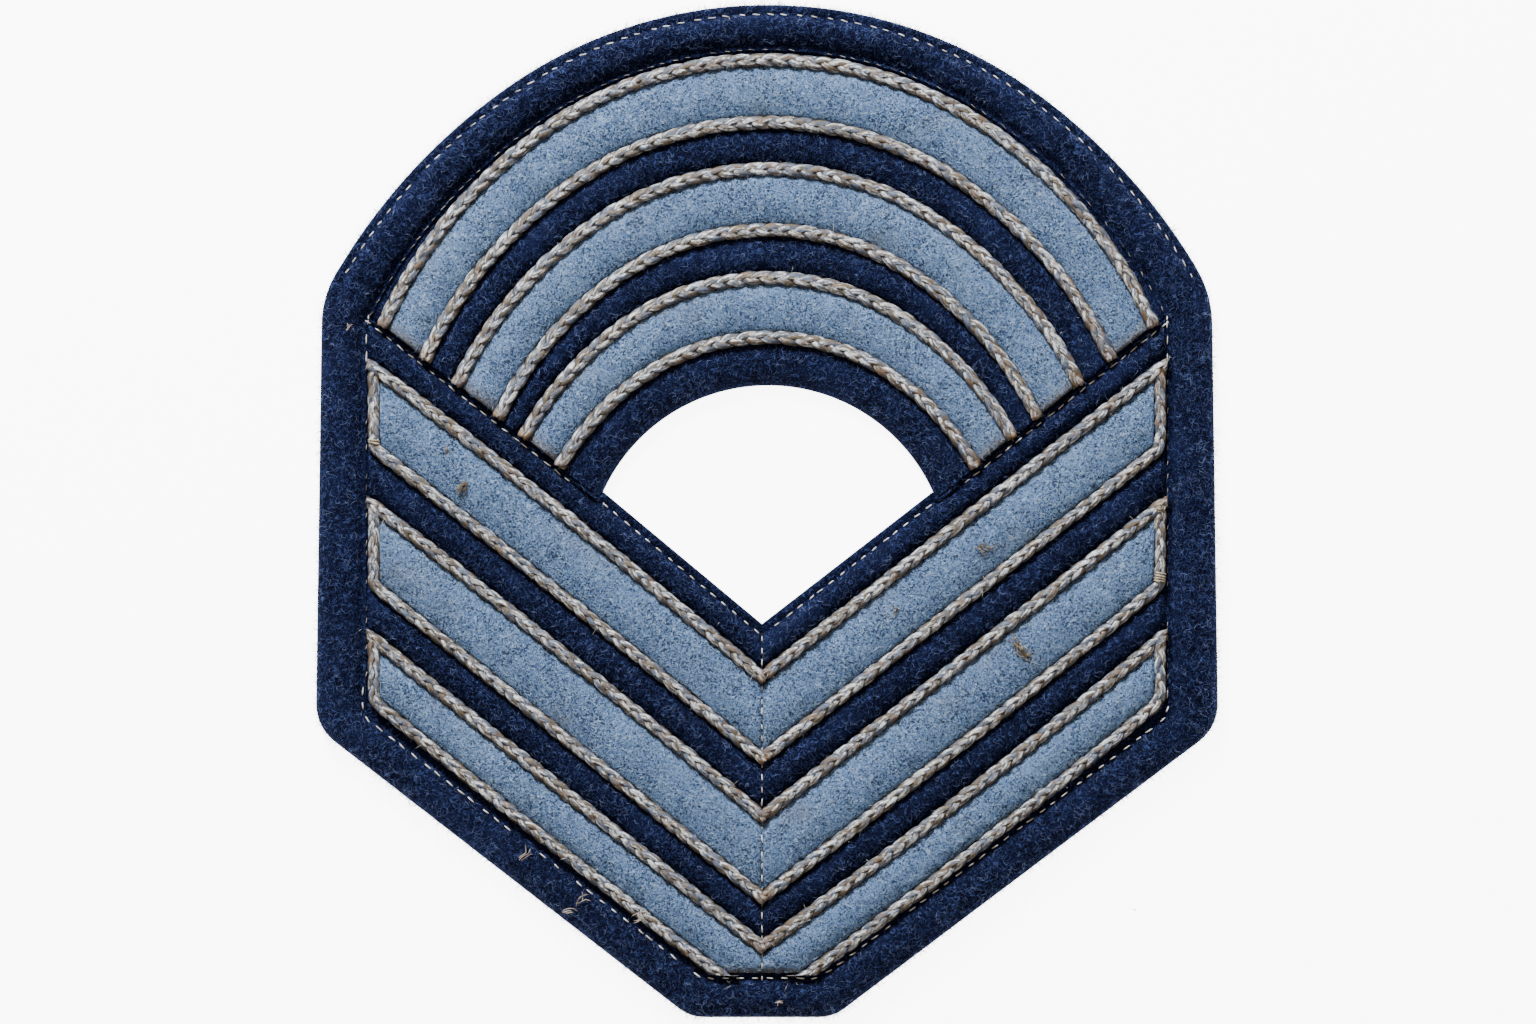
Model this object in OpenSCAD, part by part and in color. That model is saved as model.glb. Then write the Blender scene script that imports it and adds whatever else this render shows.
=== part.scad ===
// Sewn rank insignia: three cord-edged felt arcs over three cord-edged felt chevrons on a bound felt ground.
// It lies face up: +Z out of its face, +Y towards its top, origin under the middle of its outline.

/* [Outline] */
// Half the width at the lower corners
half_w = 90.2; // [89:0.1:92]
// Half the width at the shoulders, where the arch ends
shoulder_half_w = 88.9; // [88:0.1:89.5]
// Height of the shoulders above the middle
shoulder_y = 42.0; // [41:0.1:43]
// Height of the lower side corners, below the middle
low_corner_y = -43.2; // [-45:0.1:-42]
// Height of the flat bottom edge, below the middle
bottom_y = -101.2; // [-102:0.1:-100]
// Left end of the flat bottom edge
bottom_left_x = -15.4; // [-17:0.1:-13]
// Right end of the flat bottom edge
bottom_right_x = 13.2; // [11:0.1:15]

/* [Felt] */
// Thickness of the navy ground
ground_t = 2.0; // [1.6:0.1:2.4]
// Height of the crowned light-blue bars above the ground
bar_rise = 1.9; // [1.4:0.1:2.2]
// Height of the navy ribs between the bars above the ground
rib_rise = 1.6; // [1.2:0.1:2]
// Height of the crest of the edge binding above the ground
binding_rise = 2.2; // [1.8:0.1:2.5]
// Width of the edge binding down the sides
binding_side_w = 10.1; // [9.5:0.1:10.3]
// Width of the edge binding along the lower left diagonal
binding_low_left_w = 8.2; // [7.6:0.1:8.4]
// Width of the edge binding along the lower right diagonal
binding_low_right_w = 7.7; // [7.4:0.1:8]
// Width of the edge binding along the flat bottom
binding_bottom_w = 7.4; // [7:0.1:7.6]

/* [Cord] */
// Diameter of the braided cord
cord_d = 2.5; // [2.2:0.1:2.6]
// Clearance between a cord and the felt beside it
cord_gap = 0.15; // [0.1:0.01:0.2]

/* [Chevrons] */
// Distance of the upright end cords from the middle
end_cord_x = 78.6; // [78.4:0.1:78.7]
// Place of the centre seam and of the points of the chevrons
seam_x = -1.0; // [-1.5:0.1:0.5]
// Usual drop of a chevron arm from its end to the centre seam
arm_drop = 61.9; // [61.5:0.1:62.2]
// How much of the arms' slight bows is kept, from straight arms at 0 to the arms as sewn at 1
arm_bow_share = 1.0; // [0:0.1:1]

/* [Fan-shaped opening] */
// Half the width of the opening, at its side corners
hole_half_w = 32.9; // [32.6:0.1:33.1]
// Height of its side corners above the middle
hole_corner_y = 3.8; // [3.5:0.1:4]
// Height of its lower point, below the middle
hole_point_y = -22.6; // [-23:0.1:-22]
// Radius of its upper edge
hole_r = 36.2; // [36.1:0.1:36.5]

/* [Hidden] */

NAVY = [0.09, 0.15, 0.34];
LIGHT_BLUE = [0.55, 0.67, 0.79];
CORD_GREY = [0.70, 0.68, 0.64];

// Clearance between layers and at seams
layer_gap = 0.05;
left = -1;
right = 1;

// Each arch is a middle arc up to this angle from the top and a flatter arc down each side
arch_turn = 35;
arch_x = 0.2;
// Columns: height of the middle arc's centre, radius of the middle arc, radius of the side arcs
OUTLINE_ARCH = [10.55, 90.65, 118.8];
BINDING_INNER_ARCH = [12.4, 79.65, 106.3];
HOLE_ARCH = [-11.1, hole_r, hole_r];
CORD_ARCHES = [
    [12.4, 77.8, 96.1],
    [9.2, 68.5, 88.2],
    [7.8, 60.6, 84.4],
    [4.0, 52.2, 73.7],
    [-2.4, 49.0, 69.4],
    [-9.2, 43.9, 56.5]
];
arch_steps = 28;

// Heights of the chevron cords at their outer ends, from the top down; cords 1 and 2 edge bar 1, and so on
ARM_END_Y = [28.6, 12.5, 1.0, -14.9, -25.6, -38.1];
// How much further than usual each cord's arms drop, and how far its left and right arms bow upwards
ARM_MORE_DROP = [-0.1, 0.1, 0.2, 0.6, -0.3, -0.8];
ARM_BOWS = [[0.9, 0], [0.6, 0], [0.8, -0.1], [0.2, -0.7], [-0.3, -1.2], [-0.5, -1.2]];
// Height at which the binding cuts off the lowest chevron
arm_cut_y = bottom_y + binding_bottom_w + 0.9;

// The seam where the chevron ground laps over the arc ground; it ends a little below the hole's corner
seam_out_x = 79.2;
seam_out_y = 38.3;
seam_in_drop = 2.1;
seam_in_y = hole_corner_y - seam_in_drop;
seam_lap = 4.0;
// Width of the pressed lip above the padded strip, along the opening and along the arcs' ends
lip_in = 2.5;
lip_side_in = 1.3;
// How far outside the hole's corner that strip has come down to the narrower lip
lip_turn = 1.6;
seam_rise = seam_out_y - seam_in_y;
seam_run = seam_out_x - hole_half_w;
seam_angle = atan2(seam_rise, seam_run);
// How far above the seam the arc bars and cords are cut off
arc_end_lift = 0.5;
// How far the seam allowance runs into the arc ground's plate, and past the ground's outer edge
seam_root = 1.0;
seam_overrun = 6.0;
// How far from the seam's inner end its allowance starts
seam_start = 1.4;

// The ground is pressed to half its thickness where a lap or the binding holds it
pressed_t = ground_t / 2;
// Distance of the ground's cut edge from the outline, inside the binding's fold
ground_inset = 2.2;
// The ground's corners, drawn in so that they stay clear of the fold where the binding turns
side_top_drop = 3.0;
low_side_lift = 1.1;
low_side_cut = 3.2;
low_end_shift = 0.7;
// How far a padded rib stops short of the binding's inner edge, and of the opening
rib_end_in = 0.4;
rim_inset = 0.3;
base_z = ground_t + layer_gap;
cord_r = cord_d / 2;
cord_z = base_z + cord_r;
cord_sides = 8;
felt_offset = cord_r + cord_gap;
far = 300;

// Columns: share of the width, share of the rise, across a padded felt strip
CROWN = [[0, 0], [0.06, 0.55], [0.2, 0.88], [0.5, 1], [0.8, 0.88], [0.94, 0.55], [1, 0]];

// Columns: distance from the outline, share of the width added to it, height; once round the section
binding_crest_z = ground_t + binding_rise;
BINDING_SECTION = [
    [0, 0.8, pressed_t - layer_gap],
    [1.6, 0, pressed_t - layer_gap],
    [1.6, 0, base_z],
    [0, 1, base_z],
    [0, 1, base_z + 0.6],
    [-1.1, 1, base_z + 0.8],
    [-1.7, 1, base_z + 1.5],
    [-1.2, 0.8, binding_crest_z - 0.2],
    [0, 0.5, binding_crest_z],
    [0, 0.25, binding_crest_z - 0.2],
    [0.7, 0, base_z + 1.3],
    [0.1, 0, base_z + 0.5],
    [0, 0, pressed_t],
    [0.3, 0, 0.3],
    [1.1, 0, 0],
    [0, 0.8, 0]
];

function middle_centre(arch) = [arch_x, arch[0]];

function side_centre(arch, side) =
    middle_centre(arch) + (arch[1] - arch[2]) * [side * sin(arch_turn), cos(arch_turn)];

// The point of an arch where its normal leans by angle from +Y, moved outwards by out
function arch_point(arch, out, angle) =
    abs(angle) <= arch_turn
    ? middle_centre(arch) + (arch[1] + out) * [sin(angle), cos(angle)]
    : side_centre(arch, sign(angle)) + (arch[2] + out) * [sin(angle), cos(angle)];

// The angle at which an arch meets the line that lies lift above the right-hand seam
function seam_end_angle(arch, out, lift) =
    let (normal = [-sin(seam_angle), cos(seam_angle)])
    let (seam_end = [arch_x + hole_half_w, seam_in_y])
    let (below = lift - normal * (side_centre(arch, right) - seam_end))
    acos(below / (arch[2] + out)) - seam_angle;

// The angle at which an arch meets the upright line at distance x from the arches' middle
function upright_end_angle(arch, x) = asin((x - side_centre(arch, right)[0] + arch_x) / arch[2]);

function arch_line(arch, out, end) =
    [for (i = [0 : arch_steps]) arch_point(arch, out, end * (2 * i / arch_steps - 1))];

function seam_cut_line(arch, out, lift) = arch_line(arch, out, seam_end_angle(arch, out, lift));

function reversed(line) = [for (i = [len(line) - 1 : -1 : 0]) line[i]];

// A corner rounded by a parabola that starts and ends at distance d from it
function bend(before, corner, after, d, steps) =
    let (a = corner + d * (before - corner) / norm(before - corner))
    let (b = corner + d * (after - corner) / norm(after - corner))
    [for (i = [0 : steps])
        let (t = i / steps)
        (1 - t) * (1 - t) * a + 2 * t * (1 - t) * corner + t * t * b];

// The chevron arms; side is left or right, share runs from 0 at an arm's outer end to 1 at the centre seam,
// and below is a distance square to the arm
arm_steps = 5;
function arm_span(side) = abs(side * end_cord_x - seam_x);
function whole_drop(cord) = arm_drop + ARM_MORE_DROP[cord];
function arm_bow(cord, side) = arm_bow_share * ARM_BOWS[cord][side == left ? 0 : 1];
function arm_slant(cord, side) = norm([1, whole_drop(cord) / arm_span(side)]);
function arm_y(cord, side, x, below) =
    let (share = (end_cord_x - side * x) / arm_span(side))
    ARM_END_Y[cord] - whole_drop(cord) * share + 4 * arm_bow(cord, side) * share * (1 - share)
    - below * arm_slant(cord, side);
function arm_point(cord, side, x, below) = [x, arm_y(cord, side, x, below)];
function arm_cut_x(cord, side, below) =
    let (bow = 4 * arm_bow(cord, side))
    let (drop = ARM_END_Y[cord] - below * arm_slant(cord, side) - arm_cut_y)
    let (linear = whole_drop(cord) - bow)
    side * end_cord_x
    - side * arm_span(side) * 2 * drop / (linear + sqrt(linear * linear + 4 * bow * drop));
function seam_side_x(side) = seam_x + side * layer_gap;
function steps_between(a, b) = [for (i = [0 : arm_steps]) a + (b - a) * i / arm_steps];
function arm_line(cord, side, xs, below) = [for (x = xs) arm_point(cord, side, x, below)];

// The outline and the inner edge of the binding, clockwise from the left end of the arch
corner_steps = 5;
shoulder_turn = 2.5;
inner_shoulder_turn = 1.0;
shoulder_angle = upright_end_angle(OUTLINE_ARCH, shoulder_half_w) - shoulder_turn;
inner_x = half_w - binding_side_w;
inner_bottom_y = bottom_y + binding_bottom_w;

function low_slope(bottom_x) = (low_corner_y - bottom_y) / (half_w - abs(bottom_x));
function low_w(bottom_x) = bottom_x < 0 ? binding_low_left_w : binding_low_right_w;
function inner_low_y(bottom_x, x) =
    low_corner_y - low_slope(bottom_x) * (half_w - abs(x))
    + low_w(bottom_x) * sqrt(1 + low_slope(bottom_x) * low_slope(bottom_x));
function inner_bottom_x(bottom_x) =
    sign(bottom_x) * (half_w - (low_corner_y - inner_bottom_y
    + low_w(bottom_x) * sqrt(1 + low_slope(bottom_x) * low_slope(bottom_x))) / low_slope(bottom_x));

function side_corners(side, bottom_x) = [
    arch_point(OUTLINE_ARCH, 0, side * shoulder_angle),
    [side * shoulder_half_w, shoulder_y],
    [side * half_w, low_corner_y],
    [bottom_x, bottom_y],
    [0, bottom_y]
];
function inner_corners(side, bottom_x) =
    let (end = side * upright_end_angle(BINDING_INNER_ARCH, inner_x))
    let (top = arch_point(BINDING_INNER_ARCH, 0, end))
    [
        arch_point(BINDING_INNER_ARCH, 0, end - side * inner_shoulder_turn),
        [side * inner_x, top[1]],
        [side * inner_x, inner_low_y(bottom_x, inner_x)],
        [inner_bottom_x(bottom_x), inner_bottom_y],
        [0, inner_bottom_y]
    ];

// Columns: rounding at the shoulder, the lower side corner and the bottom corner
OUTER_BENDS = [4, 5, 3];
INNER_BENDS = [0.6, 0.6, 0.6];
function bends(corners, rounds) = [
    for (i = [0 : 2])
        each bend(corners[i], corners[i + 1], corners[i + 2], rounds[i], corner_steps)
];

OUTER_EDGE = concat(
    arch_line(OUTLINE_ARCH, 0, shoulder_angle),
    bends(side_corners(right, bottom_right_x), OUTER_BENDS),
    reversed(bends(side_corners(left, bottom_left_x), OUTER_BENDS))
);
INNER_EDGE = concat(
    arch_line(BINDING_INNER_ARCH, 0, upright_end_angle(BINDING_INNER_ARCH, inner_x) - inner_shoulder_turn),
    bends(inner_corners(right, bottom_right_x), INNER_BENDS),
    reversed(bends(inner_corners(left, bottom_left_x), INNER_BENDS))
);

// A point of a section's row, on the way from an outer to an inner point
function section_point(outer, inner, row) =
    let (w = norm(inner - outer))
    let (share = (row[0] + row[1] * w) / w)
    let (p = outer + share * (inner - outer))
    [p[0], p[1], row[2]];

// A felt strip between two lines with as many points each; its section runs from the outer line to the inner
module strip(outer, inner, section, closed = false) {
    stations = len(outer);
    rows = len(section);
    spans = closed ? stations : stations - 1;
    points = [for (i = [0 : stations - 1]) for (row = section) section_point(outer[i], inner[i], row)];
    walls = [
        for (i = [0 : spans - 1])
            for (j = [0 : rows - 1])
                let (a = i * rows, b = ((i + 1) % stations) * rows, k = (j + 1) % rows)
                each [[a + j, b + j, b + k], [a + j, b + k, a + k]]
    ];
    first_end = [for (j = [0 : rows - 1]) j];
    last_end = [for (j = [rows - 1 : -1 : 0]) (stations - 1) * rows + j];
    polyhedron(points, closed ? walls : concat(walls, [first_end, last_end]));
}

function crown_section(foot_z, edge_z, crest_z) = concat(
    [[0, 0, foot_z]],
    [for (c = CROWN) [0, c[0], edge_z + (crest_z - edge_z) * c[1]]],
    [[0, 1, foot_z]]
);
BAR_SECTION = crown_section(base_z, base_z + 0.8, base_z + bar_rise);
RIB_SECTION = crown_section(ground_t - 0.5, ground_t + 0.2, ground_t + rib_rise);
CORD_SECTION = [
    for (i = [0 : cord_sides - 1])
        let (a = 180 + 360 * (i + 0.5) / cord_sides)
        [0, (1 + cos(a)) / 2, cord_z - cord_r * sin(a)]
];

// Everything that the binding's flanges hold
module held_edge() {
    difference() {
        square(far, center = true);
        polygon(INNER_EDGE);
    }
}

// The strip of the arc ground that lies under the chevron ground, on one side, from a start along the seam
module seam_allowance(side, lap, start) {
    translate([arch_x, 0])
        mirror([side == left ? 1 : 0, 0])
            translate([hole_half_w, seam_in_y])
                rotate(seam_angle)
                    translate([start, -lap])
                        square([(seam_run + seam_overrun) / cos(seam_angle) - start, lap + seam_root]);
}

// The ground's felt, pressed thin from below where the binding holds it
module ground_plate() {
    difference() {
        linear_extrude(ground_t)
            children(0);
        translate([0, 0, -1])
            linear_extrude(1 + pressed_t)
                held_edge();
    }
}

// The arched half of the ground: a plate with two navy ribs and a padded rim round the opening
module arc_ground() {
    outer = seam_cut_line(OUTLINE_ARCH, -ground_inset, layer_gap);
    hole = seam_cut_line(HOLE_ARCH, 0, layer_gap);
    color(NAVY)
    union() {
        ground_plate()
            polygon(concat(outer, reversed(hole)));
        for (side = [left, right])
            linear_extrude(pressed_t - layer_gap)
                difference() {
                    seam_allowance(side, seam_lap, seam_start);
                    held_edge();
                }
        for (k = [1, 3])
            strip(
                seam_cut_line(CORD_ARCHES[k], -felt_offset, arc_end_lift),
                seam_cut_line(CORD_ARCHES[k + 1], felt_offset, arc_end_lift),
                RIB_SECTION
            );
        strip(
            seam_cut_line(CORD_ARCHES[5], -felt_offset, arc_end_lift),
            seam_cut_line(HOLE_ARCH, rim_inset, arc_end_lift),
            RIB_SECTION
        );
    }
}

// One mitred half of the chevron ground: its lip laps over the arc ground, and it has three navy ribs
module chevron_ground(side, bottom_x) {
    x0 = seam_side_x(side);
    end_station = side == right ? arch_steps : 0;
    seam_corner = seam_cut_line(OUTLINE_ARCH, -ground_inset, 0)[end_station];
    hole_end = seam_cut_line(HOLE_ARCH, -layer_gap, 0)[end_station];
    corner = [arch_x + side * hole_half_w, hole_corner_y];
    side_top = [side * (shoulder_half_w - ground_inset), seam_corner[1] - side_top_drop];
    low_side = [side * (half_w - ground_inset), low_corner_y + low_side_lift];
    low_end = [bottom_x - side * low_end_shift, bottom_y + ground_inset];
    rib_out_x = side * (inner_x - rib_end_in);
    strip_xs = concat(
        steps_between(rib_out_x, corner[0] + side * lip_turn),
        steps_between(corner[0], x0)
    );
    strip_top = [for (x = strip_xs) [x, lookup(side * x, seam_strip_top(side))]];
    strip_foot = arm_line(0, side, strip_xs, -felt_offset);
    color(NAVY)
    union() {
        difference() {
            ground_plate()
                polygon([
                    [x0, hole_point_y], corner, hole_end, seam_corner, side_top,
                    each bend(side_top, low_side, low_end, low_side_cut, 1),
                    low_end, [x0, low_end[1]]
                ]);
            translate([0, 0, -1])
                linear_extrude(1 + pressed_t)
                    seam_allowance(side, seam_lap + cord_gap, seam_start - cord_gap);
        }
        side_strip(side, strip_top, strip_foot, RIB_SECTION);
        for (k = [1, 3])
            arm_strip(k, k + 1, side, rib_out_x, RIB_SECTION);
    }
}

// Where the padded strip under the lapped seam begins: heights over distances from the middle, to lookup()
function seam_strip_top(side) = [
    [side * seam_x, hole_point_y - lip_in],
    [hole_half_w + side * arch_x, hole_corner_y - lip_in],
    for (out = [lip_turn, seam_run])
        [hole_half_w + side * arch_x + out, seam_in_y + out * seam_rise / seam_run - lip_side_in]
];

// A strip whose lines run from the side of the badge to the centre seam
module side_strip(side, upper_line, lower_line, section) {
    strip(
        side == left ? upper_line : reversed(upper_line),
        side == left ? lower_line : reversed(lower_line),
        section
    );
}

// A strip between two chevron cords, from the upright line at out_x to the centre seam
module arm_strip(upper, lower, side, out_x, section) {
    xs = steps_between(out_x, seam_side_x(side));
    side_strip(
        side,
        arm_line(upper, side, xs, felt_offset),
        arm_line(lower, side, xs, -felt_offset),
        section
    );
}

// The felt binding: one padded strip folded over the ground's edge, with a flange on each face
module edge_binding() {
    color(NAVY)
        strip(OUTER_EDGE, INNER_EDGE, BINDING_SECTION, closed = true);
}

module arc_bar(number) {
    upper = CORD_ARCHES[2 * number - 2];
    lower = CORD_ARCHES[2 * number - 1];
    color(LIGHT_BLUE)
        strip(
            seam_cut_line(upper, -felt_offset, arc_end_lift),
            seam_cut_line(lower, felt_offset, arc_end_lift),
            BAR_SECTION
        );
}

module chevron_bar(number, side) {
    upper = 2 * number - 2;
    lower = 2 * number - 1;
    out_x = side * (end_cord_x - felt_offset);
    color(LIGHT_BLUE)
    if (number < 3) {
        arm_strip(upper, lower, side, out_x, BAR_SECTION);
    } else {
        cut_x = arm_cut_x(lower, side, -felt_offset);
        xs = concat(steps_between(out_x, cut_x), [seam_side_x(side)]);
        foot = [for (x = xs) [x, max(arm_cut_y, arm_y(lower, side, x, -felt_offset))]];
        side_strip(side, arm_line(upper, side, xs, felt_offset), foot, BAR_SECTION);
    }
}

// A round cord along an arch, cut off straight at the seam
module arc_cord(number) {
    arch = CORD_ARCHES[number - 1];
    color(CORD_GREY)
        strip(
            seam_cut_line(arch, cord_r, arc_end_lift),
            seam_cut_line(arch, -cord_r, arc_end_lift),
            CORD_SECTION
        );
}

// Half of a chevron's cord: out from the centre seam, round the bar's end and back to the seam
module chevron_cord(number, side) {
    upper = 2 * number - 2;
    lower = 2 * number - 1;
    color(CORD_GREY)
        side_strip(
            side,
            chevron_cord_edge(upper, lower, side, cord_r),
            chevron_cord_edge(upper, lower, side, -cord_r),
            CORD_SECTION
        );
}

// One edge of that cord, at distance out from its middle
function chevron_cord_edge(upper, lower, side, out) =
    let (x0 = seam_side_x(side))
    let (turn_x = side * (end_cord_x + out))
    let (last_x = lower < 5 ? x0 : arm_cut_x(lower, side, out))
    concat(
        reversed(arm_line(lower, side, steps_between(turn_x, last_x), out)),
        arm_line(upper, side, steps_between(turn_x, x0), -out)
    );

arc_ground();
chevron_ground(left, bottom_left_x);  // chevron_ground_left
chevron_ground(right, bottom_right_x);  // chevron_ground_right
edge_binding();
arc_bar(1);  // arc_bar_1
arc_bar(2);  // arc_bar_2
arc_bar(3);  // arc_bar_3
chevron_bar(1, left);  // chevron_bar_1_left
chevron_bar(1, right);  // chevron_bar_1_right
chevron_bar(2, left);  // chevron_bar_2_left
chevron_bar(2, right);  // chevron_bar_2_right
chevron_bar(3, left);  // chevron_bar_3_left
chevron_bar(3, right);  // chevron_bar_3_right
arc_cord(1);  // arc_cord_1
arc_cord(2);  // arc_cord_2
arc_cord(3);  // arc_cord_3
arc_cord(4);  // arc_cord_4
arc_cord(5);  // arc_cord_5
arc_cord(6);  // arc_cord_6
chevron_cord(1, left);  // chevron_cord_1_left
chevron_cord(1, right);  // chevron_cord_1_right
chevron_cord(2, left);  // chevron_cord_2_left
chevron_cord(2, right);  // chevron_cord_2_right
chevron_cord(3, left);  // chevron_cord_3_left
chevron_cord(3, right);  // chevron_cord_3_right
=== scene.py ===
# %% [markdown]
# # A sewn rank insignia
# Three cord-edged felt arcs stand over three cord-edged felt chevrons, on a navy felt ground with a
# fan-shaped opening and a padded felt binding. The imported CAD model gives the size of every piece; this
# script dresses it in felt, braid and thread. Lengths are millimetres until a mesh is made, and only the
# lights are placed in metres.

# %% Load the frame
import math

import bpy
import numpy as np
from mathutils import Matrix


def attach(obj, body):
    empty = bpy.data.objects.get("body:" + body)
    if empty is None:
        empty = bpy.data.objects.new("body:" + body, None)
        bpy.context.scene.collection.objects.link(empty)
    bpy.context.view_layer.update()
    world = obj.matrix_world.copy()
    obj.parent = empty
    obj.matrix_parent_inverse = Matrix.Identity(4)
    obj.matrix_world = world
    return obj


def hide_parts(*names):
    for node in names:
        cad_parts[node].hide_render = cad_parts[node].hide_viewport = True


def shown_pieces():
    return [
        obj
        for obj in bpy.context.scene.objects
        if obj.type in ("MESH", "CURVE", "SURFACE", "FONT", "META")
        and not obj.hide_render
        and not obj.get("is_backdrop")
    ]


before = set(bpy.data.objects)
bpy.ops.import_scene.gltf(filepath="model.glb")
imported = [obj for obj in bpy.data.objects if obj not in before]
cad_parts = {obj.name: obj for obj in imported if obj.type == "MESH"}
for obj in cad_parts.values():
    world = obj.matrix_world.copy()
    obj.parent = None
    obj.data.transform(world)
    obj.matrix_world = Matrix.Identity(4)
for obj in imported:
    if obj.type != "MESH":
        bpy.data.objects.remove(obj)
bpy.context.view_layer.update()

MM = 0.001
print("CAD nodes:", len(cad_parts))

# %% [markdown]
# ## Camera and light
# The photograph looks straight down on the badge, and one of its pixels is 0.2 mm on the felt. A long lens
# keeps the sides of the thick binding out of sight, as they are there. The light is a soft one that comes
# in low from the top of the picture, a little to the left, so padding is bright on its upper flank and
# every cord throws a thin shadow on its lower side. It is a little cool, and the room's own light warm.

# %% Camera and lights
PIXEL = 0.2
PHOTO_W, PHOTO_H = 1536, 1024
ORIGIN_PX, ORIGIN_PY = 767, 511
FELT_TOP = 3.0
LENS, SENSOR = 200, 36


def from_photo(px, py):
    """Where a pixel of the photograph lies on the badge."""
    return (px - ORIGIN_PX) * PIXEL, (ORIGIN_PY - py) * PIXEL


def add(name, data):
    """Puts a mesh, a lamp or a camera in the scene."""
    thing = bpy.data.objects.new(name, data)
    bpy.context.scene.collection.objects.link(thing)
    return thing


def area_light(name, place, size, power, tint):
    """A square soft light at a place in metres, turned towards the badge."""
    light = bpy.data.lights.new(name, "AREA")
    light.color = tint
    light.size = size
    light.energy = power
    lamp = add(name, light)
    lamp.location = place
    lamp.rotation_euler = (-lamp.location).to_track_quat("-Z", "Y").to_euler()


camera = add("camera", bpy.data.cameras.new("camera"))
camera.data.lens = LENS
camera.data.sensor_width = SENSOR
middle_x, middle_y = from_photo(PHOTO_W / 2, PHOTO_H / 2)
camera.location = (middle_x * MM, middle_y * MM, (FELT_TOP + PHOTO_W * PIXEL * LENS / SENSOR) * MM)
bpy.context.scene.camera = camera
area_light("key_light", (-0.3, 1.0, 0.58), size=0.3, power=42, tint=(0.97, 0.99, 1.0))
area_light("fill_light", (0.3, -0.3, 1.4), size=1.2, power=3, tint=(1.0, 0.9, 0.78))
world = bpy.data.worlds.new("studio")
world.use_nodes = True
room_light = world.node_tree.nodes["Background"].inputs
room_light["Color"].default_value = (1.0, 0.9, 0.77, 1)
room_light["Strength"].default_value = 0.36
bpy.context.scene.world = world
print("camera height in metres:", round(camera.location.z, 3))

# %% [markdown]
# ## Shader maths in Python
# A finish is a net of nodes. Written by hand it takes a line for each node and link, so a small class
# lets Python's own signs add the Math nodes, and one method adds any other node. A colour is built up
# like dye on cloth: a ground, then layers that each cover some of what is there.


# %% A socket that can be added and multiplied
class Shade:
    """A node's output socket; arithmetic on it adds Math nodes."""

    def __init__(self, finish, socket):
        self.finish = finish
        self.socket = socket

    def maths(self, operation, *values):
        return self.finish.node("ShaderNodeMath", {"operation": operation}, dict(enumerate(values)))

    def __add__(self, other):
        return self.maths("ADD", self, other)

    def __sub__(self, other):
        return self.maths("SUBTRACT", self, other)

    def __rsub__(self, other):
        return self.maths("SUBTRACT", other, self)

    def __mul__(self, other):
        return self.maths("MULTIPLY", self, other)

    def __abs__(self):
        return self.maths("ABSOLUTE", self)

    __radd__ = __add__
    __rmul__ = __mul__


# %% A finish built up like dye on cloth
def dye(red, green, blue):
    """A colour from 0 to 255 as a screen shows it, in the linear light that shaders use."""
    light = [((v / 255 + 0.055) / 1.055) ** 2.4 if v > 10 else v / 3294 for v in (red, green, blue)]
    return (*light, 1.0)


class Finish:
    """A material in the making, and the one way to add a node to it."""

    def __init__(self, name):
        self.material = bpy.data.materials.new(name)
        self.material.use_nodes = True
        self.tree = self.material.node_tree
        self.tree.nodes.clear()

    def node(self, kind, settings=None, sockets=None, out=0):
        made = self.tree.nodes.new(kind)
        for name, value in (settings or {}).items():
            setattr(made, name, value)
        for name, value in (sockets or {}).items():
            if isinstance(value, Shade):
                self.tree.links.new(value.socket, made.inputs[name])
            else:
                made.inputs[name].default_value = value
        return Shade(self, made.outputs[out]) if made.outputs else None

    def noise(self, size, detail=2.0, rough=0.5, warp=0.0, where=None):
        """Noise from 0 to 1 with patches of that size in mm; warp curls it."""
        where = where or self.node("ShaderNodeTexCoord", out="Object")
        sockets = {"Vector": where, "Scale": 1 / (size * MM), "Detail": detail,
                   "Roughness": rough, "Distortion": warp}
        return self.node("ShaderNodeTexNoise", None, sockets)

    def mark(self, name, out="Fac"):
        """A number or a vector that was written on the mesh's points."""
        return self.node("ShaderNodeAttribute", {"attribute_name": name}, None, out)

    def between(self, value, low, high):
        """0 below low, 1 above high, and a soft step between."""
        sockets = {"Value": value, "From Min": low, "From Max": high}
        return self.node("ShaderNodeMapRange", {"interpolation_type": "SMOOTHSTEP"}, sockets)

    def layers(self, ground, *layers):
        """A ground colour under layers; each layer is how much of it shows, and its colour."""
        colour = dye(*ground)
        for share, shade in layers:
            sockets = {0: share, 6: colour, 7: dye(*shade)}
            colour = self.node("ShaderNodeMix", {"data_type": "RGBA"}, sockets, 2)
        return colour

    def done(self, colour, height, depth, rough=0.9, gloss=0.05):
        """Ends the net in a cloth surface whose bumps are depth mm high."""
        bump = self.node("ShaderNodeBump", None, {"Height": height, "Distance": depth * MM})
        sockets = {"Base Color": colour, "Roughness": rough, "Normal": bump, "Specular IOR Level": gloss}
        surface = self.node("ShaderNodeBsdfPrincipled", None, sockets)
        self.node("ShaderNodeOutputMaterial", None, {"Surface": surface})
        return self.material


# %% [markdown]
# ## Felt
# Felt has no weave: wool fibres lie in every direction and curl round each other. Ridges of a warped
# noise draw such curls, a finer noise gives the grain between them, and a slow one gives the patches
# where the nap was rubbed. The navy felt shows its lighter fibres, the light-blue felt its dark specks,
# which lie closer in some places than in others, and its cut ends have yellowed.


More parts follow.
